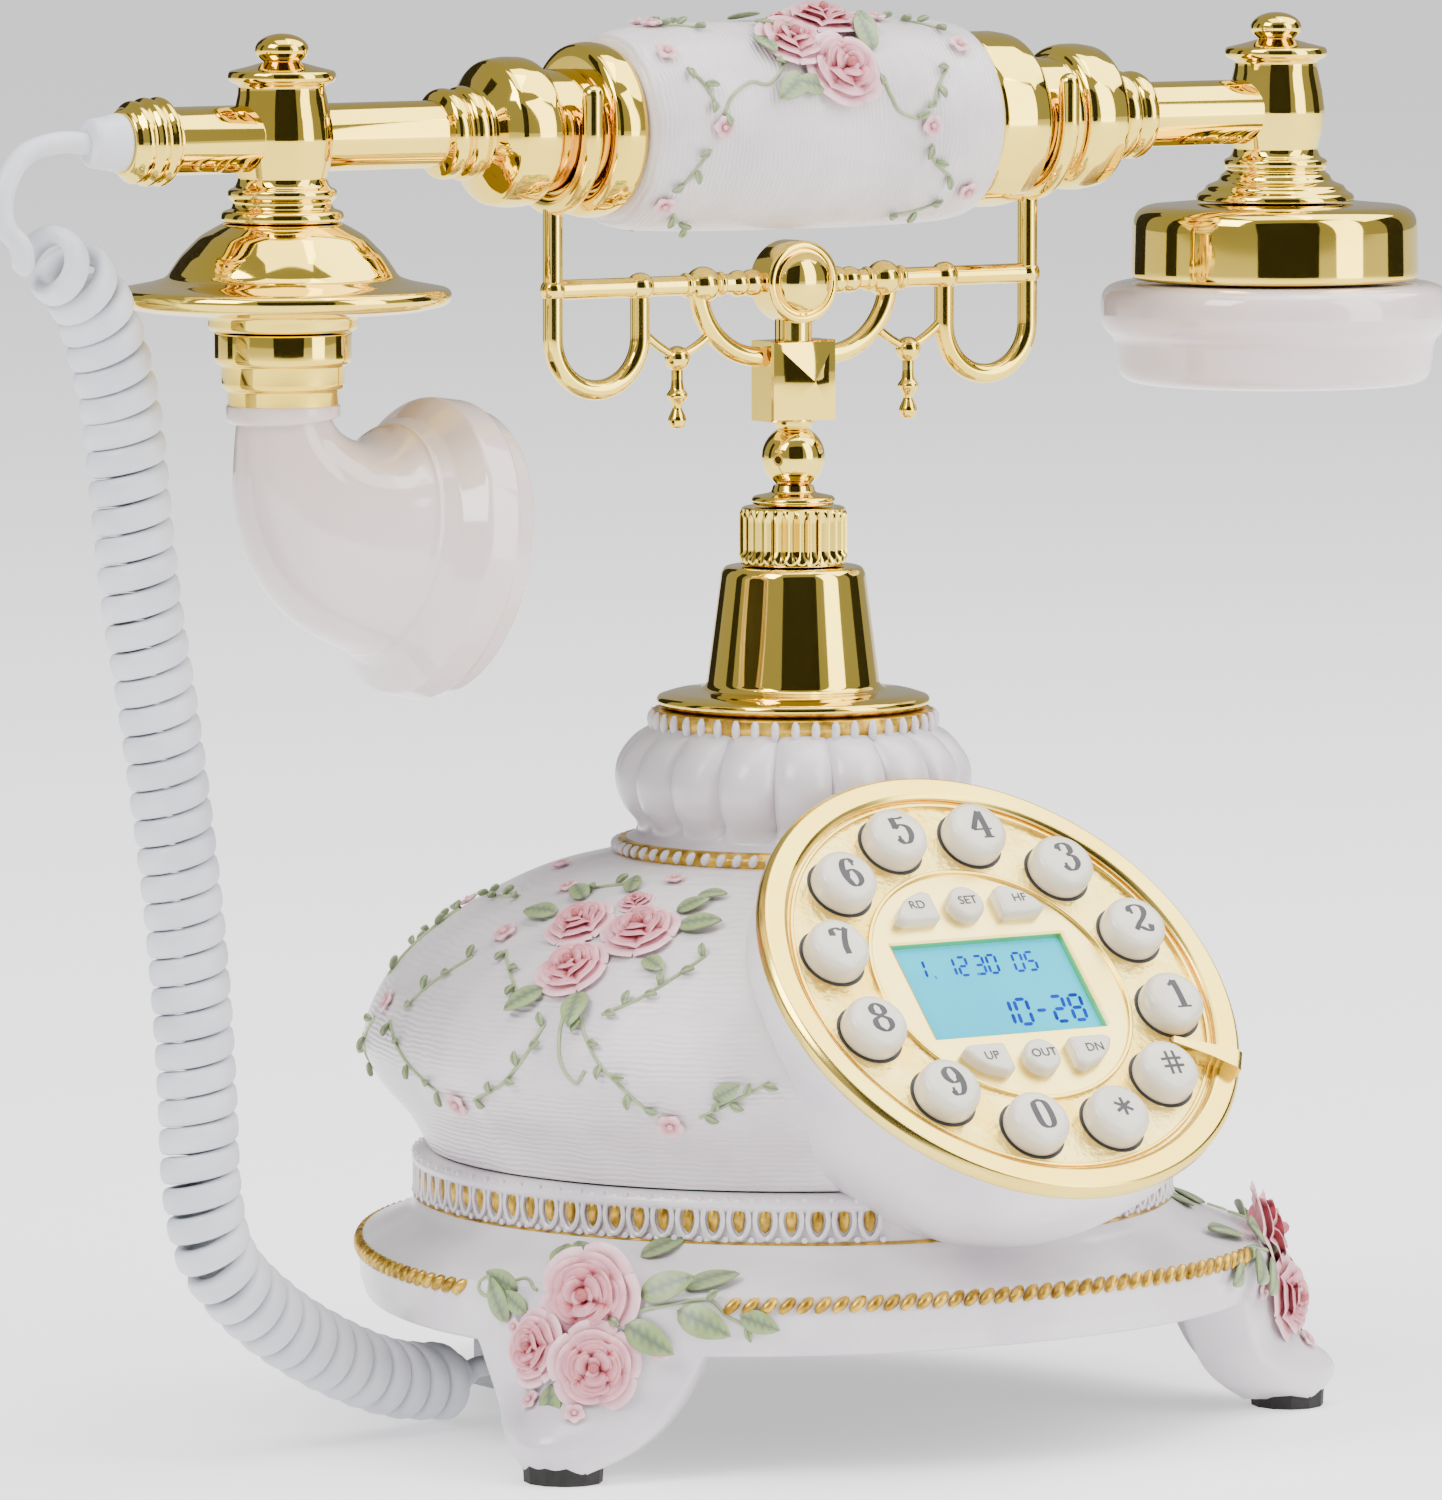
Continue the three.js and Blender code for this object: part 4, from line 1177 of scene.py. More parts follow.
DOME_SPRAY = Spray(
    roses=[(-9, 85, 10, 0.95), (-3.3, 79, 130, 1.0), (4.5, 84.6, 250, 1.05), (-2, 88.6, 50, 0.5)],
    leaves=[
        (-6, 76, 140, 1.0), (0.5, 76, 190, 1.05), (11, 85.6, -80, 1.0), (9, 87.5, -50, 0.8),
        (-17, 86, 100, 0.95), (-15, 88.2, 60, 0.8), (11, 89.8, -90, 0.7), (22, 61, -60, 0.7),
        (-6, 89.6, 20, 0.7), (8, 81.2, 235, 0.75),
    ],
    buds=[
        (-42, 70, 0, 1), (-19, 56.8, 20, 1.15), (16, 56.4, 40, 1.15), (-24, 82.5, 0, 1.1),
        (-25, 89.3, 10, 0.9), (1, 91.4, 0, 0.9), (-49, 91, 30, 0.9), (-62, 84, 0, 0.9), (39, 70, 0, 1),
    ],
    vines=[
        ([(-1, 75), (-0.6, 70), (0.6, 65.4), (3, 62.4), (4.4, 64.4)], 0),
        ([(-34.5, 70), (-31, 74.5), (-26.6, 79)], 4),
        ([(-53, 73), (-58, 79), (-60, 83)], 4),
        ([(-57, 86), (-48, 86.4), (-37, 87.3)], 5),
        ([(-20, 80.6), (-13.6, 77), (-8.4, 73.6)], 4),
        ([(-38, 67.6), (-32.6, 64), (-26.3, 60), (-23, 58)], 5),
        ([(-15.4, 57.6), (-9, 61), (-5.4, 65.6), (-3.4, 71)], 6),
        ([(1.6, 72.6), (5.7, 66.4), (9.4, 62.4), (13, 58.4)], 6),
        ([(5, 73), (9.7, 75.5), (13.6, 78.4), (18, 82)], 6),
        ([(-19, 89.6), (-13, 90.4), (-8, 90.8)], 3),
        ([(-46, 67), (-51, 62), (-56, 58)], 4),
        ([(20, 57.6), (27, 62), (35, 68)], 5),
        ([(37, 73), (31, 78), (24, 82.4)], 5),
        ([(42, 72), (50, 78), (58, 83)], 5),
        ([(43, 68), (50, 63), (57, 58)], 5),
    ],
)
GRIP_SPRAY = Spray(
    roses=[(2.2, 74, 0, 1.02), (-7.6, 53, 100, 0.95), (-0.2, 32, 200, 1.08), (-4, 84, 40, 0.45)],
    leaves=[
        (-8, 30, 215, 1.1), (-4.5, 22, 170, 0.9), (7, 44, 90, 1.05), (8.5, 56, 80, 0.9),
        (-10, 78, 290, 1.05), (8, 88, 60, 0.9), (-1, 98, 340, 0.9), (-13, 60, 270, 0.85),
        (6, 104, 20, 0.8), (-12, 96, 310, 0.8),
    ],
    buds=[(x, rise, 30 * i, 1.05) for i, (x, rise) in enumerate(
        [(-32, 49), (-25, 2), (-33, -45), (25, 48), (15.5, 0), (25.5, -40), (-29, 96), (14, 100)]
    )],
    vines=[
        ([(-10, 40), (-14.8, 26), (-18.5, 27), (-22.6, 19), (-24.6, 9)], 2),
        ([(7, 30), (8.2, 16), (9.6, 8), (13, 4)], 2),
        ([(-29.5, 38), (-27.3, 27), (-26, 16)], 3),
        ([(-27, -10), (-29.2, -21), (-31, -32)], 3),
        ([(-30, -54), (-27.6, -63), (-25, -70)], 3),
        ([(-28, 84), (-24.7, 80), (-22, 74)], 3),
        ([(19, 80), (21.2, 74), (24, 66)], 3),
        ([(21, 34), (17.9, 22), (16.6, 12)], 3),
        ([(16, -10), (17, -20), (21, -30)], 3),
        ([(22, -48), (17.8, -56), (14, -60)], 3),
    ],
)
FOOT_SPRAY = Spray(
    roses=[(1.8, 29, 0, 1.16), (-3.8, 20.8, 120, 0.84), (3.6, 18.6, 240, 0.98)],
    leaves=[
        (-2.6, 33, 40, 0.85), (-6.6, 32.4, 15, 0.75), (4.6, 34, -50, 0.95), (8, 29.5, -68, 1.1),
        (13, 30.5, -62, 1.1), (6.6, 25.4, -120, 1.1), (12.6, 27.6, -115, 1.15), (20, 27, -110, 0.8),
        (-9, 24, 30, 0.95), (-6, 26, 60, 0.7), (-1.2, 15.6, 190, 0.95), (-8.4, 29.2, 70, 0.8),
    ],
    buds=[(-7.6, 23.6, 0, 0.75), (-3.6, 12.6, 20, 0.9), (2.3, 11.2, 40, 0.9), (10.6, 21.6, 10, 1.0)],
    vines=[
        ([(-5.5, 29.5), (-9, 30.6), (-12.6, 27.8), (-14.6, 28.6), (-14.4, 31)], 0),
        ([(4, 26), (10, 28), (16, 29.4), (18.4, 27), (21, 25)], 3),
    ],
)


@dataclass
class Flowers:
    """The painted sprays on the dome, the grip and the feet."""

    florist: Florist = field(default_factory=Florist)

    def lay(self, surface: Surface, place: Callable, parts: list, vines: list = (),
            size: float = 2.6) -> list[Shape]:
        """Lays ornaments and vines on a surface.

        Args:
            surface: the surface.
            place: gives the angle and height for a row's first two numbers.
            parts: the shape, rows and lift of each kind of ornament.
            vines: routes and their numbers of leaves.
            size: length of the vines' leaves.

        Returns:
            The shapes.
        """
        f = self.florist
        shapes = []
        for shape, rows, lift in parts:
            spots = [[*place(first, second), *rest] for first, second, *rest in rows]
            shapes.append(f.placed(shape, surface, spots, lift))
        for route, count in vines:
            shapes.append(f.vine(surface, [place(*spot) for spot in route], count, size))
        return shapes

    def dome_spray(self, surface: Surface, middle_angle: float, way: int) -> list[Shape]:
        """One third of the dome's decoration: three roses, leaves, blossoms, and the vines between them.

        Args:
            surface: the dome.
            middle_angle: the roses' place round the dome, in degrees.
            way: 1, or -1 for the mirrored spray.

        Returns:
            The shapes.
        """
        f, spray = self.florist, DOME_SPRAY
        parts = [(f.rose(5.2), spray.roses, -0.4), (f.leaf(7.6, 4.4), spray.leaves, 0.2),
                 (f.blossom(), spray.buds, 0.1)]
        return self.lay(surface, lambda step, z: (middle_angle + way * step, z), parts, spray.vines)

    def grip_spray(self, surface: Surface, side: int) -> list[Shape]:
        """The grip's decoration on one side: blossoms and vines, with the roses on top for side 1.

        Args:
            surface: the grip.
            side: 1 for the near side, -1 for the far side.

        Returns:
            The shapes.
        """
        f, spray = self.florist, GRIP_SPRAY

        def place(x: float, rise: float) -> tuple[float, float]:
            return (180 - rise if side > 0 else rise), x

        shapes = self.lay(surface, place, [(f.blossom(2.0), spray.buds, 0.1)], spray.vines, 2.5)
        if side > 0:
            parts = [(f.rose(5.3), spray.roses, -0.3), (f.leaf(7.4, 4.0), spray.leaves, 0.2)]
            shapes += self.lay(surface, place, parts)
        return shapes

    def foot_spray(self, surface: Surface, middle_angle: float, way: int) -> list[Shape]:
        """The spray on one foot's knee: three roses, leaves to both sides, and blossoms down the leg.

        Args:
            surface: the casting.
            middle_angle: the foot's place, in degrees.
            way: 1, or -1 for the mirrored spray.

        Returns:
            The shapes.
        """
        f, spray = self.florist, FOOT_SPRAY
        leaves = [(step, z, spin * way, size) for step, z, spin, size in spray.leaves]
        parts = [(f.rose(6.2), spray.roses, -0.6), (f.leaf(8.6, 4.6), leaves, 0.1),
                 (f.blossom(2.1), spray.buds, 0.1)]
        return self.lay(surface, lambda step, z: (middle_angle + way * step, z), parts, spray.vines)

    def build(self, maker: Maker, dome: Surface, casting: Surface, grip: Surface) -> None:
        """Makes the sprays.

        Args:
            maker: makes the pieces.
            dome: the dome's side.
            casting: the casting's side.
            grip: the grip's side.
        """
        painted = partial(maker.piece, finish=RELIEF, slot="resin", sharp=60)
        for name, angle, way in [("left", 204, 1), ("right", 336, -1), ("rear", 84, 1)]:
            painted(f"dome_spray_{name}", joined(self.dome_spray(dome, angle, way)), body="base")
        for name, angle, way in [("left", 210, 1), ("right", 330, -1), ("rear", 90, 1)]:
            painted(f"foot_spray_{name}", joined(self.foot_spray(casting, angle, way)), body="base")
        painted("grip_spray", joined(self.grip_spray(grip, 1) + self.grip_spray(grip, -1)), body="handset")


# ---------- dial ----------
class Row(Enum):
    """The two rows of function keys, with their distance up or down from the dial's middle."""

    UPPER = 15.6
    LOWER = -15.6


@dataclass(frozen=True)
class Pen:
    """A broad pen held so that upright strokes are thick and level ones thin, for the numerals."""

    thick: float = 1.25
    thin: float = 0.34

    def stroke(self, knots: list, drape: Callable[[Array], Array], width: float = 0.0) -> Shape:
        """One stroke: a flat ribbon of ink along a smooth line, lying on the key's top.

        Args:
            knots: points of the line, and two equal ones in a row make a corner.
            drape: height of the key's top at a distance from its middle.
            width: an even width instead of the pen's.

        Returns:
            The stroke.
        """
        line = smooth(knots, 6)
        tangent = np.gradient(line, axis=0)
        tangent /= np.linalg.norm(tangent, axis=1)[:, None] + 1e-9
        half = 0.5 * (self.thin + (self.thick - self.thin) * np.abs(tangent[:, 1]) ** 1.6)
        if width:
            half = 0 * half + width / 2
        normal = np.stack([-tangent[:, 1], tangent[:, 0]], -1) * half[:, None]
        left, right = line + normal, line - normal
        rings = []
        for side, lift in [(right, -0.1), (right, 0.05), (left, 0.05), (left, -0.1)]:
            rings.append(np.column_stack([side, drape(np.linalg.norm(side, axis=1)) + lift]))
        grid = np.stack(rings, 1)
        return capped(grid, grid.mean(1))

    def dot(self, x: float, y: float, radius: float, drape: Callable[[Array], Array]) -> Shape:
        """A round dot of ink."""
        return self.stroke([[x - radius * 0.6, y], [x, y], [x + radius * 0.6, y]], drape, radius * 1.8)


NUMERALS = {
    "1": ([[[0.1, 3], [0.1, 2], [0.1, -2], [0.1, -2.9]], [[-1.3, 1.9], [-0.6, 2.3], [0, 2.9]],
           [[-1.4, -2.85], [0, -2.85], [1.6, -2.85]]], []),
    "2": (
        [[[-1.5, 1.5], [-1.2, 2.6], [0.1, 3], [1.3, 2.5], [1.45, 1.3], [0.6, 0], [-0.7, -1.2], [-1.7, -2.4]],
         [[-1.6, -2.3], [-0.7, -2.0], [0.4, -2.6], [1.3, -2.7], [1.7, -1.5]]], [(-1.15, 1.5, 0.5)]),
    "3": (
        [[[-1.4, 1.7], [-0.9, 2.7], [0.2, 3], [1.1, 2.3], [1.0, 1.0], [-0.1, 0.25]],
         [[-0.1, 0.3], [1.2, -0.2], [1.45, -1.6], [0.5, -2.8], [-0.6, -2.9], [-1.5, -1.9]]],
         [(-1.0, 1.7, 0.45), (-1.1, -1.8, 0.5)]),
    "4": ([[[0.6, 2.9], [0.6, 1], [0.6, -2.9]], [[0.5, 2.9], [-0.8, 0.9], [-2.0, -1.1]],
           [[-2.0, -1.15], [0, -1.15], [1.8, -1.15]],
           [[-0.5, -2.85], [0.6, -2.85], [1.7, -2.85]]], []),
    "5": (
        [[[-1.1, 2.7], [-1.1, 1.4], [-1.2, 0.2]], [[-1.1, 2.6], [0.2, 2.5], [1.4, 2.8]],
         [[-1.2, 0.3], [0, 1.0], [1.3, 0.4], [1.5, -1.2], [0.6, -2.7], [-0.6, -2.9], [-1.5, -1.9]]],
         [(-1.1, -1.8, 0.5)]),
    "6": (
        [[[1.3, 2.0], [0.6, 2.9], [-0.6, 2.6], [-1.4, 1], [-1.4, -1], [-0.7, -2.6], [0.3, -2.9], [1.3, -2.0],
          [1.3, -0.6], [0.4, 0.4], [-0.7, 0.1], [-1.2, -0.8]]], [(1.0, 1.8, 0.45)]),
    "7": ([[[-1.6, 1.2], [-1.4, 2.4], [-0.4, 2.8], [0.6, 2.4], [1.6, 2.8]],
           [[1.6, 2.8], [0.6, 0.8], [0.0, -1.2], [0.0, -2.8]]], []),
    "8": (
        [[[0, 0.3], [-1.1, 1.0], [-1.1, 2.2], [0, 3], [1.1, 2.2], [1.1, 1.0], [0, 0.3]],
         [[0, 0.3], [-1.4, -0.6], [-1.4, -2.0], [0, -2.9], [1.4, -2.0], [1.4, -0.6], [0, 0.3]]], []),
    "9": (
        [[[-1.3, -2.0], [-0.6, -2.9], [0.6, -2.6], [1.4, -1], [1.4, 1], [0.7, 2.6], [-0.3, 2.9], [-1.3, 2.0],
          [-1.3, 0.6], [-0.4, -0.4], [0.7, -0.1], [1.2, 0.8]]], [(-1.0, -1.8, 0.45)]),
    "0": ([[[0, 2.95], [-1.15, 2.2], [-1.4, 0], [-1.15, -2.2], [0, -2.95], [1.15, -2.2], [1.4, 0],
            [1.15, 2.2], [0, 2.95]]], []),
}


KEY_LABELS = [*"1234567890", "star", "hash"]
FUNCTION_WORDS = {Row.UPPER: ("RD", "SET", "HF"), Row.LOWER: ("UP", "OUT", "DN")}


@dataclass
class Dial:
    """The tilted dial: its bowl, gilt rim and plate, display, and eighteen keys."""

    bowl_radius: float = 41.6
    key_circle: float = 30.0
    window: tuple = (16.5, 9.5)
    plate_z: float = -1.4

    def bowl(self) -> Shape:
        """The bowl: an ellipse turned about the dial's axis, closed under the plate.

        Returns:
            The bowl.
        """
        d = BOWL_DEPTH * np.sin(np.linspace(math.pi / 2, 0, 40))
        outside = np.stack([self.bowl_radius * np.sqrt(np.clip(1 - (d / BOWL_DEPTH) ** 2, 0, 1)), -d], -1)
        outside = outside[outside[:, 1] < -3.4]
        lip = [[41.5, -3.3], [40.6, -3.2], [0, -3.6]]
        return on_dial(turned(np.vstack([outside, lip]), 192))

    def plate(self) -> Shape:
        """The inner panel with the display's recess: rings pass from the window's rectangle to a circle.

        Returns:
            The panel.
        """
        corner = math.atan2(self.window[1], self.window[0])
        marks = [-corner, corner, math.pi - corner, math.pi + corner, TAU - corner]
        angle = np.concatenate([np.linspace(a, b, 40, endpoint=False) for a, b in zip(marks[:-1], marks[1:])])
        square = np.minimum(self.window[0] / np.abs(np.cos(angle)), self.window[1] / np.abs(np.sin(angle)))
        rows = [(0.0, 1.0, -3.35), (0.0, 1.0, -3.3), (0.0, 1.005, -1.75), (0.0, 1.04, -1.42)]
        rows += [(0.0, 1.05, self.plate_z)] + [(s, 1.05, self.plate_z) for s in (0.3, 0.6, 0.9)]
        grid = [((1 - s) * square * k + s * 22.7, z) for s, k, z in rows] + [(0 * angle + 23.4, self.plate_z)]
        r = np.stack([g[0] for g in grid])
        z = np.stack([0 * angle + g[1] for g in grid])
        shape = around(r, angle, z)[::-1]
        floor = shape[-1:] * [0, 0, 1]
        return on_dial(skin(np.concatenate([shape, floor])))

    def washer(self, knots: list, radius: float = 0.3, segments: int = 192) -> Shape:
        """A turned ring with a closed outline.

        Args:
            knots: the outline's corners.
            radius: how far the corners are cut.
            segments: columns round the axis.

        Returns:
            The ring.
        """
        profile = np.asarray(knots, float)
        profile = np.vstack([profile[-1:], profile, profile[:1]])
        mids = (profile[:-1] + profile[1:]) / 2
        line = rounded(np.vstack([mids[:1], profile[1:-1], mids[-1:]]), radius)[:-1]
        angle = np.arange(segments) / segments * TAU
        return skin(around(line[:, :1], angle, line[:, 1:]), wrap_rows=True)

    def stop(self) -> Shape:
        """The finger stop: a wedge over the rim that narrows and sinks towards the keys.

        Returns:
            The stop.
        """
        rows = [(29.4, 0.5, 0.2), (29.8, 0.8, 0.9), (36, 1.6, 1.7), (40.6, 2.5, 2.1), (41.5, 2.6, 1.7)]
        grid = []
        for r, half, top in rows:
            grid.append([[-1.35, r], [-1.35, r], [top * 0.5, r], [top, r], [top, r], [-1.35, r]])
            for column, across in enumerate([half, half, half * 0.95, half * 0.55, -half, -half]):
                grid[-1][column] = [grid[-1][column][0], across, grid[-1][column][1]]
        points = np.asarray(grid)
        points = np.stack([points[..., 2], points[..., 1], points[..., 0]], -1)
        a = math.radians(-30)
        turn = np.array([[math.cos(a), -math.sin(a), 0], [math.sin(a), math.cos(a), 0], [0, 0, 1]])
        return on_dial(capped(points, points.mean(1)).moved(turn, ORIGIN))

    def segments(self, text: str, x: float, y: float, height: float) -> Shape:
        """Seven-segment characters on the display, from a left lower corner.

        Args:
            text: the characters.
            x: the corner.
            y: the corner.
            height: of a character.

        Returns:
            The characters.
        """
        codes = {"0": "abcdef", "1": "bc", "2": "abged", "3": "abgcd", "4": "fgbc", "5": "afgcd",
                 "6": "afgedc",
                 "7": "abc", "8": "abcdefg", "9": "abfgcd", "-": "g", ".": "p", " ": ""}
        w, t, gap = height * 0.46, height * 0.13, height * 0.04
        ends = {
            "a": ((0, 2), (1, 2)), "b": ((1, 2), (1, 1)), "c": ((1, 1), (1, 0)), "d": ((0, 0), (1, 0)),
            "e": ((0, 1), (0, 0)), "f": ((0, 2), (0, 1)), "g": ((0, 1), (1, 1)), "p": ((0.3, 0), (0.5, 0)),
        }
        shapes = []
        for letter in text:
            for code in codes[letter]:
                a, b = (np.array([p[0] * w, p[1] * height / 2]) for p in ends[code])
                along_it = (b - a) / np.linalg.norm(b - a)
                a, b = a + along_it * gap, b - along_it * gap
                n = np.array([-along_it[1], along_it[0]]) * t / 2
                flat = [a, a + along_it * t / 2 - n, b - along_it * t / 2 - n, b, b - along_it * t / 2 + n,
                        a + along_it * t / 2 + n]
                outline = np.array([[x + p[0] + 0.12 * p[1], y + p[1]] for p in flat])
                shapes.append(self.prism(outline, -2.78, -2.74, 0))
            x += w + height * 0.24 if letter != "." else height * 0.2
        return joined(shapes)

    def prism(self, outline: Array, low: float, high: float, bevel: float) -> Shape:
        """An outline, anticlockwise, raised from low to high with its upper edge rounded over.

        Args:
            outline: the outline.
            low: its bottom.
            high: its top.
            bevel: radius of the upper edge.

        Returns:
            The solid.
        """
        centre = outline.mean(0)
        rows = [(0.0, low), (1.0, low)]
        if bevel:
            reach = np.linalg.norm(outline - centre, axis=1).mean()
            turn = np.linspace(0, math.pi / 2, 5)
            rows += [(1 - bevel * (1 - math.cos(t)) / reach,
                      high - bevel + bevel * math.sin(t)) for t in turn]
            rows += [(0.55, high + bevel * 0.12), (0.0, high + bevel * 0.16)]
        else:
            rows += [(1.0, high), (0.0, high)]
        grid = [np.column_stack([centre + (outline - centre) * k, np.full(len(outline), z)]) for k, z in rows]
        return skin(np.stack(grid))

    def lettering(self, text: str, height: float) -> Shape:
        """Flat letters from the built-in typeface, centred, as triangles.

        Args:
            text: the word.
            height: size of the letters.

        Returns:
            The letters.
        """
        curve = bpy.data.curves.new("lettering", "FONT")
        curve.body, curve.size, curve.extrude = text, height, 0.03
        curve.align_x = curve.align_y = "CENTER"
        holder = bpy.data.objects.new("lettering", curve)
        bpy.context.scene.collection.objects.link(holder)
        mesh = bpy.data.meshes.new_from_object(holder.evaluated_get(bpy.context.evaluated_depsgraph_get()))
        mesh.calc_loop_triangles()
        points = np.empty(len(mesh.vertices) * 3)
        mesh.vertices.foreach_get("co", points)
        faces = np.empty(len(mesh.loop_triangles) * 3, int)
        mesh.loop_triangles.foreach_get("vertices", faces)
        bpy.data.objects.remove(holder)
        bpy.data.curves.remove(curve)
        return Shape(points.reshape(-1, 3), [faces.reshape(-1, 3)])

    def key_place(self, index: int) -> Array:
        """Middle of a digit key: 30 degrees apart, with the first 15 degrees under the X axis."""
        angle = math.radians(30 * index - 15)
        return np.array([self.key_circle * math.cos(angle), self.key_circle * math.sin(angle), 0])

    def digit_key(self, maker: Maker, label: str, index: int) -> None:
        """A round key and its printed numeral.

        Args:
            maker: makes the pieces.
            label: its name, and its numeral.
            index: its place round the dial.
        """
        place = self.key_place(index)
        knots = [[0, -1.65], [5.25, -1.65], [5.3, 1.5], [4.75, 2.7], [2.6, 3.15], [0, 3.25]]
        profile = rounded(knots, 0.9, 6)
        top = profile[profile[:, 1] > 1][::-1]
        node = f"key_{label}"

        def drape(r: Array) -> Array:
            return np.interp(r * 0.92, top[:, 0], top[:, 1])

        cap = turned(profile, 48).moved(UPRIGHT, place)
        maker.piece(f"cap_{label}", on_dial(cap), KEYCAP, node, "keycap", (node,), 60)
        pen, shapes = Pen(), []
        if label == "star":
            for turn in (90, 30, 150):
                c, s = math.cos(math.radians(turn)), math.sin(math.radians(turn))
                shapes.append(pen.stroke([[-1.9 * c, -1.9 * s], [0, 0], [1.9 * c, 1.9 * s]], drape, 0.62))
        elif label == "hash":
            lines = [[[x - 0.2, -2.5], [x, 0], [x + 0.2, 2.5]] for x in (-0.75, 0.75)]
            lines += [[[-2.1, y], [0, y], [2.1, y]] for y in (-0.8, 0.8)]
            shapes += [pen.stroke(line, drape, 0.58) for line in lines]
        else:
            strokes, dots = NUMERALS[label]
            shapes += [pen.stroke(knots, drape) for knots in strokes] + [pen.dot(*dot, drape) for dot in dots]
        print_it = joined(shapes)
        scaled = Shape(print_it.points * [0.92, 0.92, 1], print_it.faces).moved(UPRIGHT, place)
        maker.piece(f"numeral_{label}", on_dial(scaled), INK, node, "keycap")

    def function_key(self, maker: Maker, row: Row, side: int, word: str) -> None:
        """A small key beside the display: round in the middle, a wedge at either side.

        Args:
            maker: makes the pieces.
            row: its row.
            side: -1, 0 or 1 for left, middle or right.
            word: what is printed on it.
        """
        name = {-1: "left", 0: "middle", 1: "right"}[side]
        node = f"function_{row.name.lower()}_{name}"
        if side:
            outline = np.array([[6.2, 12.6], [13.2, 12.6], [14.4, 13.4], [13.2, 15.4], [11.2, 17.2],
                                [7.6, 18.5], [6.2, 17.8]])
            outline = outline * [side, math.copysign(1, row.value)]
            if side * row.value < 0:
                outline = outline[::-1]
            mids = (outline + np.roll(outline, -1, 0)) / 2
            outline = rounded(np.vstack([mids[-1:], np.stack([outline, mids], 1).reshape(-1, 2)]), 0.7)[:-1]
        else:
            outline = circle(3.2, 32) + [0, row.value]
        middle_point = outline.mean(0)
        cap = self.prism(outline, -1.9, 0.75, 0.75)
        maker.piece(f"cap_{node}", on_dial(cap), KEYCAP, node, "keycap", (node,), 60)
        letters = self.lettering(word, 2.3).moved(UPRIGHT, (*(middle_point * [0.95, 1]), 0.92))
        maker.piece(f"word_{node}", on_dial(letters), INK, node, "keycap")

    def build(self, maker: Maker) -> None:
        """Makes the dial and its keys.

        Args:
            maker: makes the pieces.
        """
        maker.piece("dial_bowl", self.bowl(), PEARL, "base", "resin", ("dial_pod",), 50)
        rim = self.washer([[41.4, -3.2], [42.4, -2.6], [42.4, -1.0], [41.6, -0.1], [38.4, 0.0], [37.6, -0.5],
                           [37.4, -3.2]])
        maker.piece("dial_gilt_rim", on_dial(rim), SATIN_RIM, "base", "gold", ("dial_rim",))
        field_ring = self.washer([[37.5, -3.2], [37.5, self.plate_z], [23.2, self.plate_z], [23.2, -3.2]],
                                 0.05, 256)
        maker.piece("dial_field", on_dial(field_ring), SCROLL_GILT, "base", "gold_face", ("dial_plate",))
        maker.piece("dial_panel", self.plate(), SATIN_GILT, "base", "gold_face", sharp=30)
        for name, radius, half, top in [("inner", 23.0, 0.45, -0.85), ("outer", 36.7, 0.4, -0.75)]:
            ridge = self.washer([[radius + half, -1.6], [radius + half * 0.8, top],
                                 [radius - half * 0.8, top], [radius - half, -1.6]], 0.25)
            maker.piece(f"dial_ridge_{name}", on_dial(ridge), SATIN_RIM, "base", "gold_face")
        w, h = self.window
        cell = self.prism(np.array([[-w, -h], [w, -h], [w, h], [-w, h]]), -3.32, -2.8, 0)
        maker.piece("display_cell", on_dial(cell), CELL, "base", "display", ("display_module",))
        digits = [self.segments("10-28", -1.9, -7.2, 5.0), self.segments("1. 12.30 05", -13.4, 3.4, 3.6)]
        maker.piece("display_digits", on_dial(joined(digits)), SEGMENT, "base", "display")
        # Dark rings round each key are painted shade for the shadow in the gap between key and plate, made
        # with the black plastic finish.
        key_shade_rings = []
        for index in range(len(KEY_LABELS)):
            gap = self.washer([[5.75, -1.5], [5.75, -1.36], [5.0, -1.36], [5.0, -1.5]], 0.02, 40)
            key_shade_rings.append(gap.moved(UPRIGHT, self.key_place(index)))
        maker.piece("key_painted_shade_rings", on_dial(joined(key_shade_rings)), DARK_PLASTIC, "base", "gold_face")
        maker.piece("finger_stop", self.stop(), SATIN_RIM, "base", "gold")
        for index, label in enumerate(KEY_LABELS):
            self.digit_key(maker, label, index)
        for row, words in FUNCTION_WORDS.items():
            for side, word in zip((-1, 0, 1), words):
                self.function_key(maker, row, side, word)


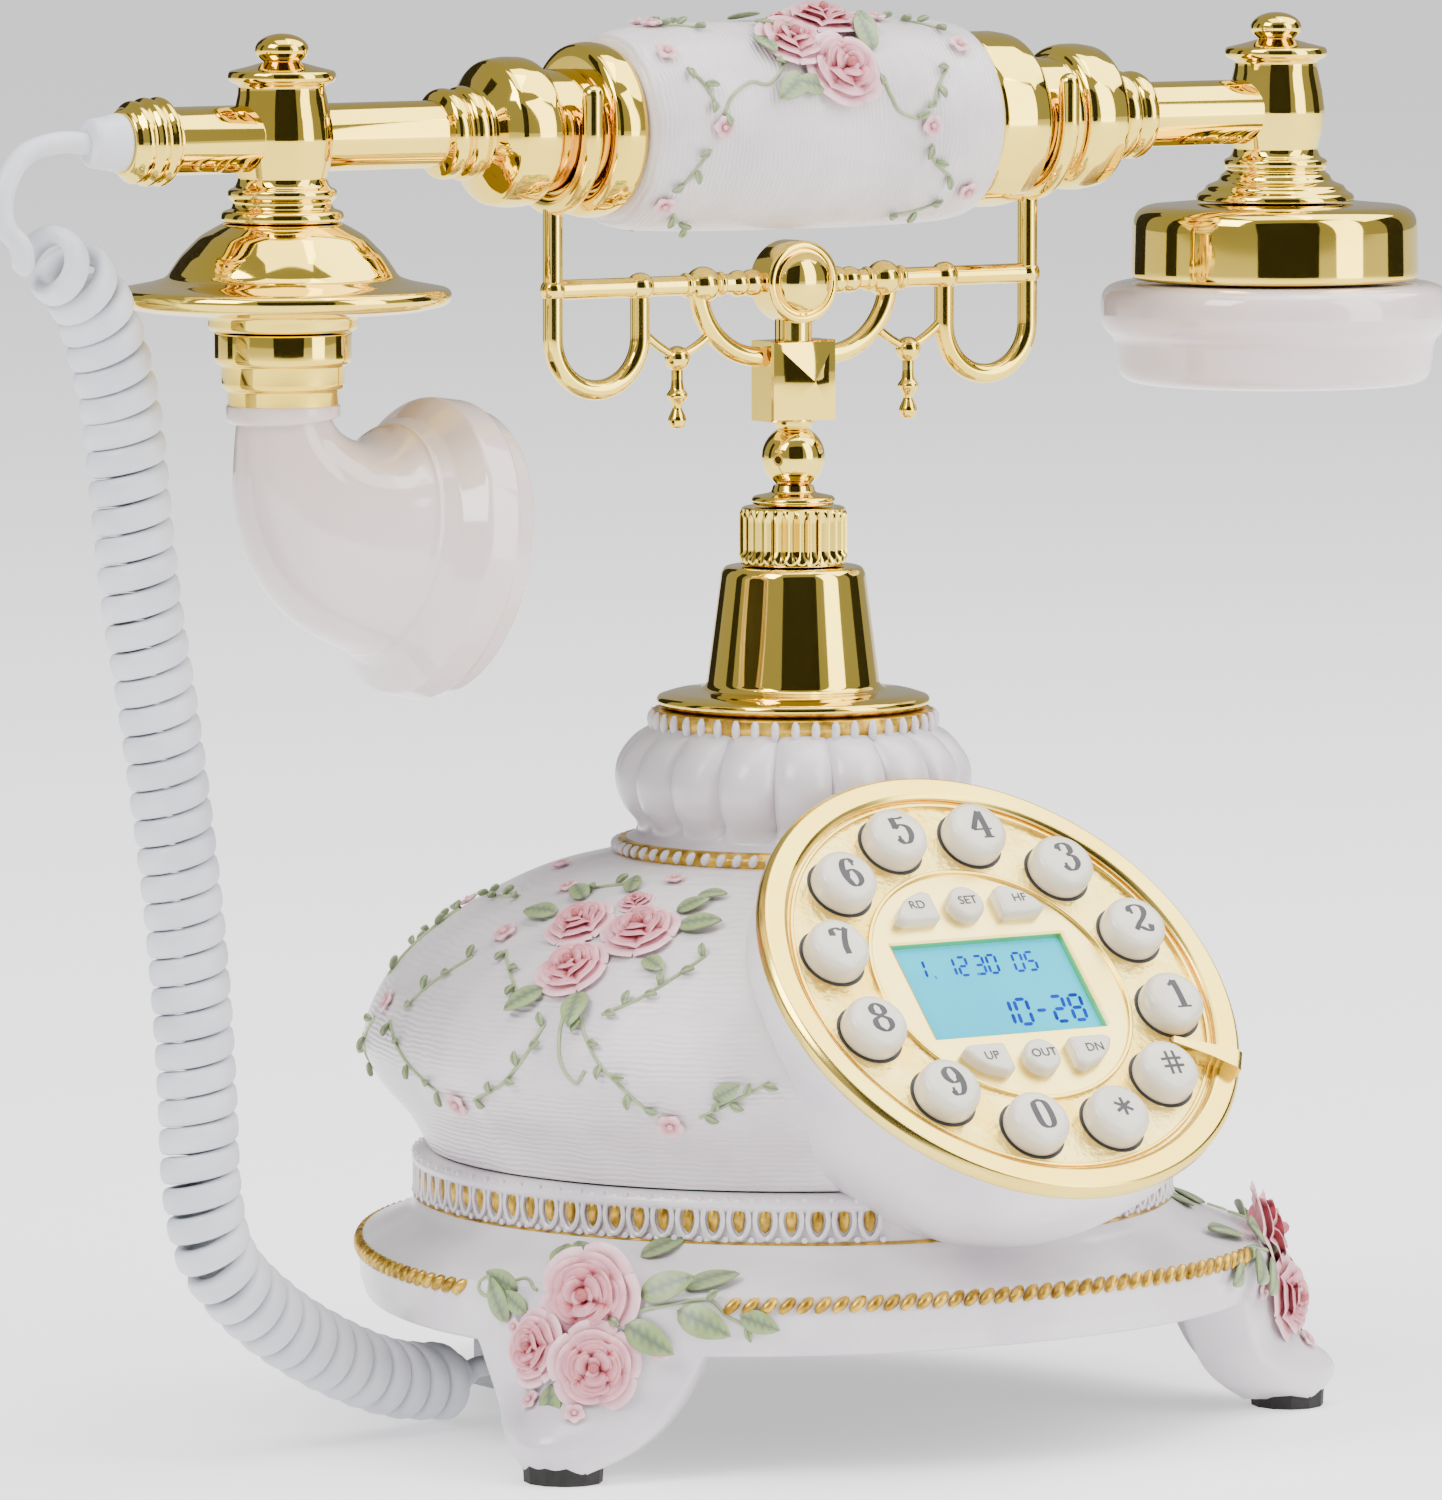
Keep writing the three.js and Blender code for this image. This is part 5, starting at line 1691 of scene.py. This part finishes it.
# ---------- column and cradle ----------
@dataclass
class Column:
    """The gilt cone with its flange and the fluted collar on it."""

    flutes: int = 30

    def collar(self) -> Shape:
        """The fluted collar: each flute is a hollow 0.7 deep, by a rectified sine, that fades at both ends.

        Returns:
            The collar.
        """
        knots = rounded([[0, 140.5], [8.6, 140.5], [8.9, 141.2], [8.8, 149.4], [8.3, 150.1], [0, 150.2]], 0.4)
        rows = np.vstack([knots[:6], [[8.84, z] for z in np.linspace(141.9, 149.0, 12)], knots[-6:]])
        count = self.flutes * 10
        angle = np.arange(count) / count * TAU
        depth = 0.75 * np.clip((rows[:, 1] - 141.6) / 0.5, 0, 1) * np.clip((149.4 - rows[:, 1]) / 0.5, 0, 1)
        r = rows[:, :1] - depth[:, None] * np.abs(np.sin(angle * self.flutes / 2)) ** 0.8 * (rows[:, :1] > 8)
        return skin(around(r, angle, rows[:, 1:]))

    def build(self, maker: Maker) -> None:
        """Makes the column.

        Args:
            maker: makes the pieces.
        """
        cone = rounded(
            [[0, 117.0], [21.6, 117.0], [22.7, 117.8], [22.4, 118.9], [20, 119.6], [15.2, 120.0],
             [14.3, 120.8], [11.9, 139.2], [11.2, 140.3], [0, 140.4]], 0.6,
        )
        maker.piece("gilt_cone", turned(cone, 160), GILT, "base", "gold", ("column_cone",))
        maker.piece("gilt_fluted_collar", self.collar(), GILT, "base", "gold", ("fluted_collar",), 50)


@dataclass
class Cradle:
    """The sliding cradle: post, round boss, crossbar with beads, looped uprights, forks and pendants."""

    wire: float = 1.65
    fork_wire: float = 1.75
    inner_x: float = 30.0
    loop_z: float = 179.0
    groove: float = 12.0
    fork_top: float = 219.0

    def post(self) -> Shape:
        """The post's turned stretch, from the rod in the column up to the block.

        Returns:
            The post.
        """
        knots = [
            [0, 95], [2.6, 95], [2.6, 112], [5.2, 112], [5.2, 113.2], [2.6, 113.2], [2.6, 150.3],
            [6.6, 150.4], [7.0, 151.1],
            [6.6, 151.8], [3.7, 152.4], [3.3, 153.6],
        ]
        bulb = arc((0, 158.2), 5.25, -62, 62, 16)
        return turned(np.vstack([rounded(knots, 0.35), bulb,
                                 rounded([[2.9, 163.0], [3.3, 163.6], [3.3, 165.4], [0, 165.6]])]), 64)

    def block(self) -> Shape:
        """The square block with four facets that meet in a point at the front.

        Returns:
            The block.
        """
        rows = [(0, 3.35), (5.9, 3.35), (6.3, 2.95), (6.3, -2.95), (6.05, -3.35), (5.8, -3.45), (0, -6.6)]
        corners = np.array([[1, 1.05], [-1, 1.05], [-1, -1.05], [1, -1.05]])[::-1]
        grid = np.stack([np.column_stack([corners[:, 0] * h, np.full(4, y),
                                          170.9 + corners[:, 1] * h]) for h, y in rows])
        return skin(grid)

    def boss(self) -> Shape:
        """The round boss over the block: a flat rim round a shallow groove and a domed middle.

        Returns:
            The boss.
        """
        front = [[0, -3.2], [6.3, -3.2], [6.85, -2.6], [6.85, 2.9], [6.5, 3.3], [5.75, 3.4], [5.4, 3.0]]
        turn = np.linspace(0.05, math.pi / 2, 14)
        dome = np.vstack([[[5.1, 3.0]], np.stack([5.1 * np.cos(turn), 3.2 + 2.6 * np.sin(turn)], -1)])
        return turned(np.vstack([rounded(front, 0.3), dome]), 96).moved(Y_FRONT, (0, 0, CRADLE_BAR))

    def bead(self, x: float, radius: float, collars: bool) -> Shape:
        """A bead on the crossbar, with a thin collar at each side.

        Args:
            x: its place on the bar.
            radius: its radius.
            collars: whether it has them.

        Returns:
            The bead.
        """
        shapes = [ball(radius, (0, 0, x), 28)]
        if collars:
            for offset in (-radius - 0.35, radius + 0.35):
                ring = rounded([[0, -0.5], [1.9, -0.5], [2.1, 0], [1.9, 0.5], [0, 0.5]], 0.25)
                shapes.append(turned(ring, 32).moved(UPRIGHT, (0, 0, x + offset)))
        return joined(shapes).moved(X_AXIS, (0, 0, CRADLE_BAR))

    def side(self) -> list[Shape]:
        """One half of the cradle, on the ear's side.

        Returns:
            The shapes.
        """
        flat = lambda xz: np.stack([xz[:, 0], 0 * xz[:, 0], xz[:, 1]], -1)
        bend = (FORK_X - self.inner_x) / 2
        fork_arc = arc((0, HANDSET_AXIS), self.groove, 180, 360, 60)
        fork = np.vstack([[[-self.groove, z] for z in np.linspace(self.fork_top, HANDSET_AXIS + 0.5, 8)],
                          fork_arc,
                          [[self.groove, z] for z in np.linspace(HANDSET_AXIS + 0.5, self.fork_top, 8)]])
        fork = np.stack([0 * fork[:, 0] + FORK_X, fork[:, 0], fork[:, 1]], -1)
        upright = np.vstack([
            [[FORK_X, z] for z in np.linspace(HANDSET_AXIS - self.groove, self.loop_z + 0.4, 10)],
            arc((FORK_X - bend, self.loop_z), bend, 0, -180, 48),
            [[self.inner_x, z] for z in np.linspace(self.loop_z + 0.4, CRADLE_BAR, 6)],
        ])
        brace = arc((6.6, CRADLE_BAR), 12.2, -4, -88, 32)
        x, z = 22.8, 175.2
        drop = rounded(
            [[0, 163.6], [1.2, 163.9], [1.6, 165.2], [1.0, 166.5], [0.7, 167.2], [1.2, 168.2], [1.9, 169.2],
             [1.1, 170.2], [0.95, 171.6], [0.95, 174.4], [0, 174.6]],
            0.5,
        )
        tapers = [[[15.3, 180.0], [18.6, 177.4], [x, z]], [[self.inner_x, 180.2], [26.8, 177.6], [x, z]]]
        return [
            along(fork, circle(self.fork_wire, 20), (1, 0, 0)),
            *[ball(self.fork_wire, (FORK_X, y, self.fork_top), 16) for y in (-self.groove, self.groove)],
            along(flat(upright), circle(self.wire, 20), (0, 1, 0)),
            along(flat(brace), circle(self.wire, 20), (0, 1, 0)),
            *[along(flat(smooth(t, 6)), circle(0.75, 12), (0, 1, 0)) for t in tapers],
            ball(2.1, (x, 0, z), 24),
            turned(drop, 32).moved(UPRIGHT, (x, 0, 0)),
            self.bead(17.8, 3.0, True), self.bead(self.inner_x, 2.4, False), self.bead(FORK_X, 2.1, False),
            self.bead(11.0, 2.2, False), self.bead(8.3, 2.3, False),
        ]

    def build(self, maker: Maker) -> None:
        """Makes the cradle.

        Args:
            maker: makes the pieces.
        """
        post = joined([self.post(), self.block(), self.boss(),
                       turned([[0, 177.2], [3.1, 177.4], [3.1, 182], [0, 182]], 48)])
        maker.piece("gilt_cradle_post", post, GILT, "cradle", "gold", ("cradle_post",), 30)
        half = self.side()
        bar = np.stack([np.linspace(-FORK_X, FORK_X, 20), np.zeros(20), np.full(20, CRADLE_BAR)], -1)
        yoke = joined([along(bar, circle(self.wire, 24), (0, 1, 0)), *half, *[mirrored(s) for s in half]])
        maker.piece("gilt_cradle_yoke", yoke, GILT, "cradle", "gold", ("cradle_yoke",))


# ---------- handset ----------
@dataclass
class Handset:
    """The handset: resin grip, gilt arms and tees, mouth horn under a saucer, and ear cap."""

    half_grip: float = 36.6
    right_grip: float = 31.8
    bend_radius: float = 21.6
    bend_turn: float = 79.0
    horn_top: float = 169.3

    def grip_curve(self) -> Array:
        """The grip's side, as [radius, x]."""
        return smooth([[14.4, -self.half_grip], [16.0, -34.8], [16.8, -26], [17.2, 0], [16.9, 22],
                       [16.1, 30.2], [14.6, self.right_grip]], 8)

    def grip_surface(self) -> Surface:
        """The grip's side, for ornaments."""
        curve = self.grip_curve()
        return Surface(lambda a, x: np.interp(x, curve[:, 1], curve[:, 0]) + 0 * a, X_AXIS, LAID)

    def arm(self, ends: list) -> Shape:
        """An arm's turned stretch in its own frame, Z outwards: groove for the fork, flange, beads, tube.

        Args:
            ends: what follows the tube.

        Returns:
            The arm.
        """
        knots = [
            [0, 43.2], [10, 43.2], [10, 51.2], [11.6, 51.8], [12.1, 53.2], [12.2, 56.2], [11.7, 59.4],
            [9.4, 60.8], [6.6, 62.2],
            [7.5, 63.0], [7.7, 64.2], [7.4, 65.3], [6.3, 65.8], [7.2, 66.6], [7.4, 67.8], [7.1, 68.9],
            [5.45, 69.6],
        ]
        return turned(np.vstack([rounded(knots, 0.8), *ends]), 96)

    def stem(self, foot: list) -> Shape:
        """A tee: stepped foot, waisted sleeve over the arm, and the finial on top.

        Args:
            foot: the foot's profile.

        Returns:
            The tee.
        """
        knots = foot + [
            [8.4, 203.2], [8.75, 203.6], [8.75, 204.7], [7.6, 205.2], [7.1, 206.4], [7.9, 209.6],
            [8.35, 212.9], [7.9, 216.2],
            [7.1, 219.8], [7.0, 221.4], [8.3, 221.9], [8.75, 222.5], [8.5, 223.6], [5.6, 224.3], [3.1, 225.0],
        ]
        finial = arc((0, 227.0), 4.3, -48, 90, 16) * [1, 0.6] + [0, 227.0 * 0.4]
        return turned(np.vstack([rounded(knots, 0.45), finial]), 96)

    def bend_length(self) -> float:
        """Length of the horn's bend along its middle line."""
        return math.radians(self.bend_turn) * self.bend_radius

    def horn_rows(self, profile: Array) -> Array:
        """Rings of the horn for [distance along its middle line, radius].

        The middle line falls, turns through the bend and runs straight on: up to the bend's length
        the turn is the distance over the bend radius, and past it the turn stays.

        Args:
            profile: the distances and radii.

        Returns:
            The rings.
        """
        turn = np.clip(profile[:, 0] / self.bend_radius, None, math.radians(self.bend_turn))
        turn = np.maximum(turn, 0)
        beyond = profile[:, 0] - turn * self.bend_radius
        x = -STEM_X + self.bend_radius * (1 - np.cos(turn)) + beyond * np.sin(turn)
        z = self.horn_top - self.bend_radius * np.sin(turn) - beyond * np.cos(turn)
        angle = np.arange(128) / 128 * TAU
        r = profile[:, 1:]
        out = r * np.sin(angle)
        return np.stack(
            [x[:, None] + out * np.cos(turn)[:, None], r * np.cos(angle),
             z[:, None] + out * np.sin(turn)[:, None]], -1
        )

    def horn(self) -> Shape:
        """The mouth horn, with its bell's thick edge and its inside down to the grille.

        Returns:
            The horn.
        """
        length = self.bend_length()
        lip = rounded([[-1.2, 0], [-1.2, 8.9], [-0.9, 9.2], [0.9, 9.2], [1.3, 8.8], [1.4, 7.9]], 0.3)
        neck = smooth([[1.5, 7.6], [5.65, 8.9], [11.3, 11.6], [17.0, 14.6], [23, 17.1], [length - 0.8, 18.6]],
                      8)
        bell = rounded([[length - 0.5, 18.9], [length + 0.3, 19.0], [length + 0.6, 18.8],
                        [length + 2.8, 20.2], [length + 4.8, 22.6], [length + 5.9, 23.9],
                        [length + 6.4, 24.2], [length + 11.2, 24.5], [length + 11.7, 24.0],
                        [length + 14.6, 23.4], [length + 15.5, 22.3], [length + 15.0, 21.5],
                        [length + 6, 20.2], [length + 3.2, 17.4], [length + 3.0, 0.0]],
                        0.5, 5)
        rows = np.vstack([lip, neck, bell])
        return skin(self.horn_rows(rows))

    def build(self, maker: Maker) -> None:
        """Makes the handset.

        Args:
            maker: makes the pieces.
        """
        gilt = partial(maker.piece, finish=GILT, body="handset", slot="gold")
        curve = self.grip_curve()
        grip = np.vstack([[[0, curve[0, 1]]], curve, [[0, curve[-1, 1]]]])
        maker.piece("grip_casting", along_x(turned(grip, 192)), COMBED_GRIP, "handset", "resin",
                    ("grip_barrel",), 60)
        narrow = rounded([[0, 36.7], [13.2, 36.7], [14.1, 37.6], [14.3, 40.4], [13.9, 42.6], [12.6, 43.2],
                          [0, 43.2]], 0.6)
        wide = rounded([[0, 31.9], [13.6, 31.9], [14.5, 32.7], [14.6, 38.8], [14.1, 41.8], [12.6, 43.2],
                        [0, 43.2]], 0.6)
        for ring, turn, name in [(wide, X_AXIS, "right"), (narrow, X_BACK, "left")]:
            gilt(f"gilt_grip_ring_{name}", turned(ring, 128).moved(turn, LAID),
                 replaces=(f"grip_ring_{name}",))
        left_end = [[5.45, 118.6], [5.7, 119.2]], rounded(
            [[5.6, 119.6], [6.9, 120.0], [7.2, 120.9], [6.4, 121.8], [6.9, 122.4], [7.1, 123.4], [6.2, 124.3],
             [6.5, 124.8], [6.6, 125.8], [5.6, 126.6], [5.2, 127.5], [0, 127.5]], 0.4)
        gilt(
            "gilt_arm_left", self.arm(list(left_end)).moved(X_BACK, LAID), replaces=("arm_left",)
        )
        gilt(
            "gilt_arm_right", along_x(self.arm([np.array([[5.45, 102.6], [0, 102.8]])])),
            replaces=("arm_right",)
        )
        left_foot = [[0, 199.6], [9.75, 199.6], [9.9, 200.4], [9.6, 201.3], [8.1, 201.8], [8.0, 202.8]]
        right_foot = [[0, 197.8], [13.5, 197.8], [13.2, 198.9], [12.0, 199.6], [11.6, 200.4], [9.6, 201.2],
                      [9.2, 202.2], [8.4, 202.7]]
        for side, foot, name in [(-1, left_foot, "left"), (1, right_foot, "right")]:
            shape = self.stem(foot).moved(UPRIGHT, (side * STEM_X, 0, 0))
            gilt(f"gilt_tee_{name}", shape, replaces=(f"stem_{name}",))
        saucer = rounded(
            [[0, 182.3], [12, 182.3], [12, 184.9], [22.6, 185.5], [26.4, 186.4], [27.2, 187.7], [26.6, 189.0],
             [21.2, 190.0], [18.6, 190.8], [17.6, 192.4], [16.2, 194.4], [13.2, 197.4], [10.4, 199.0],
             [9.4, 199.5], [0, 199.6]], 0.9, 5,
        )
        collar = rounded(
            [[0, 169.6], [8.7, 169.6], [8.9, 170.2], [8.9, 172.8], [9.7, 173.1], [9.9, 173.7], [9.9, 176.8],
             [10.8, 177.1], [11.0, 177.8], [11.0, 182], [0, 182.2]], 0.3,
        )
        left = (-STEM_X, 0, 0)
        gilt("gilt_saucer", turned(saucer, 160).moved(UPRIGHT, left), replaces=("mouth_saucer",))
        gilt("gilt_horn_collar", turned(collar, 128).moved(UPRIGHT, left), replaces=("horn_collar",))
        maker.piece("mouth_horn_shell", self.horn(), WARM_ABS, "handset", "white_gloss", ("mouth_horn",), 60)
        length = self.bend_length()
        grille = np.array([[length + 1.0, 0], [length + 1.0, 17.0], [length + 3.3, 17.2],
                           [length + 3.6, 16.6], [length + 3.8, 0]])
        maker.piece("mouth_grille", skin(self.horn_rows(grille)), DARK_PLASTIC, "handset", "dark_plastic",
                    ("microphone",))
        shell = rounded(
            [[0, 184.5], [24.1, 184.5], [24.3, 185.4], [24.1, 194.2], [23.4, 196.0], [21.6, 197.0],
             [15.4, 197.5], [0, 197.7]], 1.2, 6
        )
        cap = rounded(
            [[0, 169.6], [12, 169.2], [19.6, 167.4], [22, 166.8], [25.0, 167.3], [26.4, 168.6], [26.9, 172.6],
             [27.2, 174.6], [28.9, 176.0], [29.6, 178.0], [29.5, 181.4], [28.6, 183.2], [26.4, 184.1],
             [0, 184.3]], 1.4, 6,
        )
        right = (STEM_X, 0, 0)
        gilt("gilt_ear_shell", turned(shell, 160).moved(UPRIGHT, right), replaces=("ear_shell",))
        maker.piece("ear_cap_shell", turned(cap, 160).moved(UPRIGHT, right), WARM_ABS, "handset",
                    "white_gloss", ("ear_cap",))
        sleeve = rounded([[0, 127.3], [4.6, 127.4], [4.7, 128.4], [4.2, 130.6], [3.9, 133.0], [3.2, 133.6],
                          [0, 133.7]], 0.5)
        maker.piece(
            "cord_sleeve", turned(sleeve, 64).moved(X_BACK, LAID), VINYL, "handset", "cord_jacket",
            ("cord_relief",)
        )
        self.holes(maker)

    def holes(self, maker: Maker) -> None:
        """The sound holes under the ear cap, as dark discs of painted shade: one in the middle and rings of
        six and twelve round it.

        Args:
            maker: makes the pieces.
        """
        angle = np.concatenate([[0], np.arange(6) / 6 * TAU, np.arange(12) / 12 * TAU])
        reach = np.repeat([0, 3.6, 7.2], [1, 6, 12])
        places = np.stack([STEM_X + reach * np.cos(angle), reach * np.sin(angle), np.full(19, 169.3)], -1)
        hole = turned([[0, -0.2], [0.7, -0.2], [0.7, 0.5], [0, 0.5]], 16)
        # The dark discs are painted shade for the insides of the holes.
        maker.piece("ear_hole_shade_discs", repeated(hole, np.repeat(UPRIGHT[None], 19, 0), places), DARK_PLASTIC,
                    "handset", "white_gloss")


# ---------- stage and camera ----------
@dataclass
class Stage:
    """A pale floor in a pale room, soft lights, dark cards for the gilt to reflect, and the camera."""

    view_turn: float = 33.3
    view_pitch: float = 5.64
    view_distance: float = 1815.0
    view_aside: float = 11.9
    view_height: float = 289.0
    lens: float = 265.4
    aim_height: float = 0.13
    floor_half: float = 60.0
    room_light: float = 0.46

    def camera(self) -> None:
        """The camera: its line of sight lies in the plane of view_turn and falls by view_pitch."""
        turn = math.radians(self.view_turn)
        forward = np.array([math.sin(turn), math.cos(turn)])
        right = np.array([math.cos(turn), -math.sin(turn)])
        spot = -self.view_distance * forward - self.view_aside * right
        data = bpy.data.cameras.new("camera")
        data.lens, data.sensor_width, data.sensor_fit = self.lens, 36, "AUTO"
        data.clip_start, data.clip_end = 0.05, 200
        made = bpy.data.objects.new("camera", data)
        made.location = (spot[0] * MM, spot[1] * MM, self.view_height * MM)
        made.rotation_euler = (math.radians(90 - self.view_pitch), 0, -turn)
        bpy.context.scene.collection.objects.link(made)
        bpy.context.scene.camera = made

    def facing(self, made: bpy.types.Object, azimuth: float, elevation: float, distance: float) -> None:
        """Puts a light or card on a sphere round the telephone's middle, facing it.

        The azimuth is in degrees to the right of the camera, seen from the telephone.

        Args:
            made: the light or card.
            azimuth: degrees to the right of the camera.
            elevation: degrees over the horizon.
            distance: the sphere's radius, in metres.
        """
        a = math.radians(-90 - self.view_turn + azimuth)
        e = math.radians(elevation)
        spot = np.array([math.cos(a) * math.cos(e), math.sin(a) * math.cos(e), math.sin(e)]) * distance
        made.location = spot + [0, 0, self.aim_height]
        made.rotation_mode = "QUATERNION"
        made.rotation_quaternion = Vector(spot.tolist()).to_track_quat("Z", "Y")
        bpy.context.scene.collection.objects.link(made)

    def panel(self, name: str, azimuth: float, elevation: float, distance: float, size: tuple,
              power: float) -> None:
        """A soft light.

        Args:
            name: its name.
            azimuth: degrees to the right of the camera.
            elevation: degrees over the horizon.
            distance: in metres.
            size: width and height, in metres.
            power: in watts.
        """
        data = bpy.data.lights.new(name, "AREA")
        data.shape, data.size, data.size_y, data.energy = "RECTANGLE", *size, power
        self.facing(bpy.data.objects.new(name, data), azimuth, elevation, distance)

    def card(self, name: str, azimuth: float, elevation: float, distance: float, size: tuple) -> None:
        """A black card that only reflections see.

        Args:
            name: its name.
            azimuth: degrees to the right of the camera.
            elevation: degrees over the horizon.
            distance: in metres.
            size: width and height, in metres.
        """
        half = np.array([[-1, -1, 0], [1, -1, 0], [1, 1, 0], [-1, 1, 0]]) * [size[0] / 2, size[1] / 2, 0]
        mesh = bpy.data.meshes.new(name)
        mesh.from_pydata(half.tolist(), [], [(0, 1, 2, 3)])
        mesh.materials.append(CARD.build())
        made = bpy.data.objects.new(name, mesh)
        made.visible_camera = False
        made.visible_shadow = False
        self.facing(made, azimuth, elevation, distance)

    def build(self) -> None:
        """Makes the floor, the room's light, the lights, the cards and the camera."""
        world = bpy.data.worlds.new("room")
        world.use_nodes = True
        background = world.node_tree.nodes["Background"]
        background.inputs["Color"].default_value = (*linear("FBFBFC"), 1)
        background.inputs["Strength"].default_value = self.room_light
        bpy.context.scene.world = world
        mesh = bpy.data.meshes.new("floor")
        half = self.floor_half
        mesh.from_pydata([(-half, -half, 0), (half, -half, 0), (half, half, 0), (-half, half, 0)], [],
                         [(0, 1, 2, 3)])
        mesh.materials.append(FLOOR.build())
        floor = bpy.data.objects.new("floor", mesh)
        bpy.context.scene.collection.objects.link(floor)
        self.panel("key_light", -48, 42, 2.2, (1.1, 1.1), 50)
        self.panel("right_light", 62, 22, 2.0, (0.9, 2.0), 34)
        self.panel("top_light", 10, 84, 2.2, (1.4, 1.4), 26)
        self.panel("dial_light", 110, 56, 2.0, (1.7, 1.7), 46)
        self.card("front_card", 10, 12, 2.2, (2.1, 2.6))
        self.card("right_card", 112, 6, 2.0, (0.8, 2.4))
        self.card("left_card", -96, 4, 2.2, (0.5, 2.6))
        self.card("back_card", -146, 6, 2.2, (1.0, 2.4))
        self.camera()


def dress(finish: Finish, *names: str) -> None:
    """Gives plain pieces of the frame, found by the start of their names, a finish of their own.

    Args:
        finish: the finish.
        names: starts of names.
    """
    for name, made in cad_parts.items():
        if name.startswith(names):
            made.data.materials.clear()
            made.data.materials.append(finish.build())
            LOG.info("dressed %s", name)


def main() -> None:
    """Builds the telephone on its frame."""
    logging.basicConfig(level=logging.INFO, format="%(name)s %(message)s")
    stage, maker = Stage(), Maker()
    stage.build()
    Cord().build(maker)
    casting, dome, handset = Casting(), Dome(), Handset()
    casting.build(maker)
    dome.build(maker)
    Dial().build(maker)
    Column().build(maker)
    Cradle().build(maker)
    handset.build(maker)
    Flowers().build(maker, dome.surface(), Surface(casting.skirt), handset.grip_surface())
    dress(RUBBER, "pad_")
    dress(BOARD, "key_board", "main_board")
    dress(CLEAR, "cord_plug")
    dress(DARK_PLASTIC, "handset_jack", "bottom_cover", "hook_switch", "ringer")
    dress(STEEL, "plunger_spring", "tie_rod", "receiver")
    LOG.info("%d pieces", maker.made)
    bpy.context.view_layer.update()


if __name__ == "__main__":
    main()
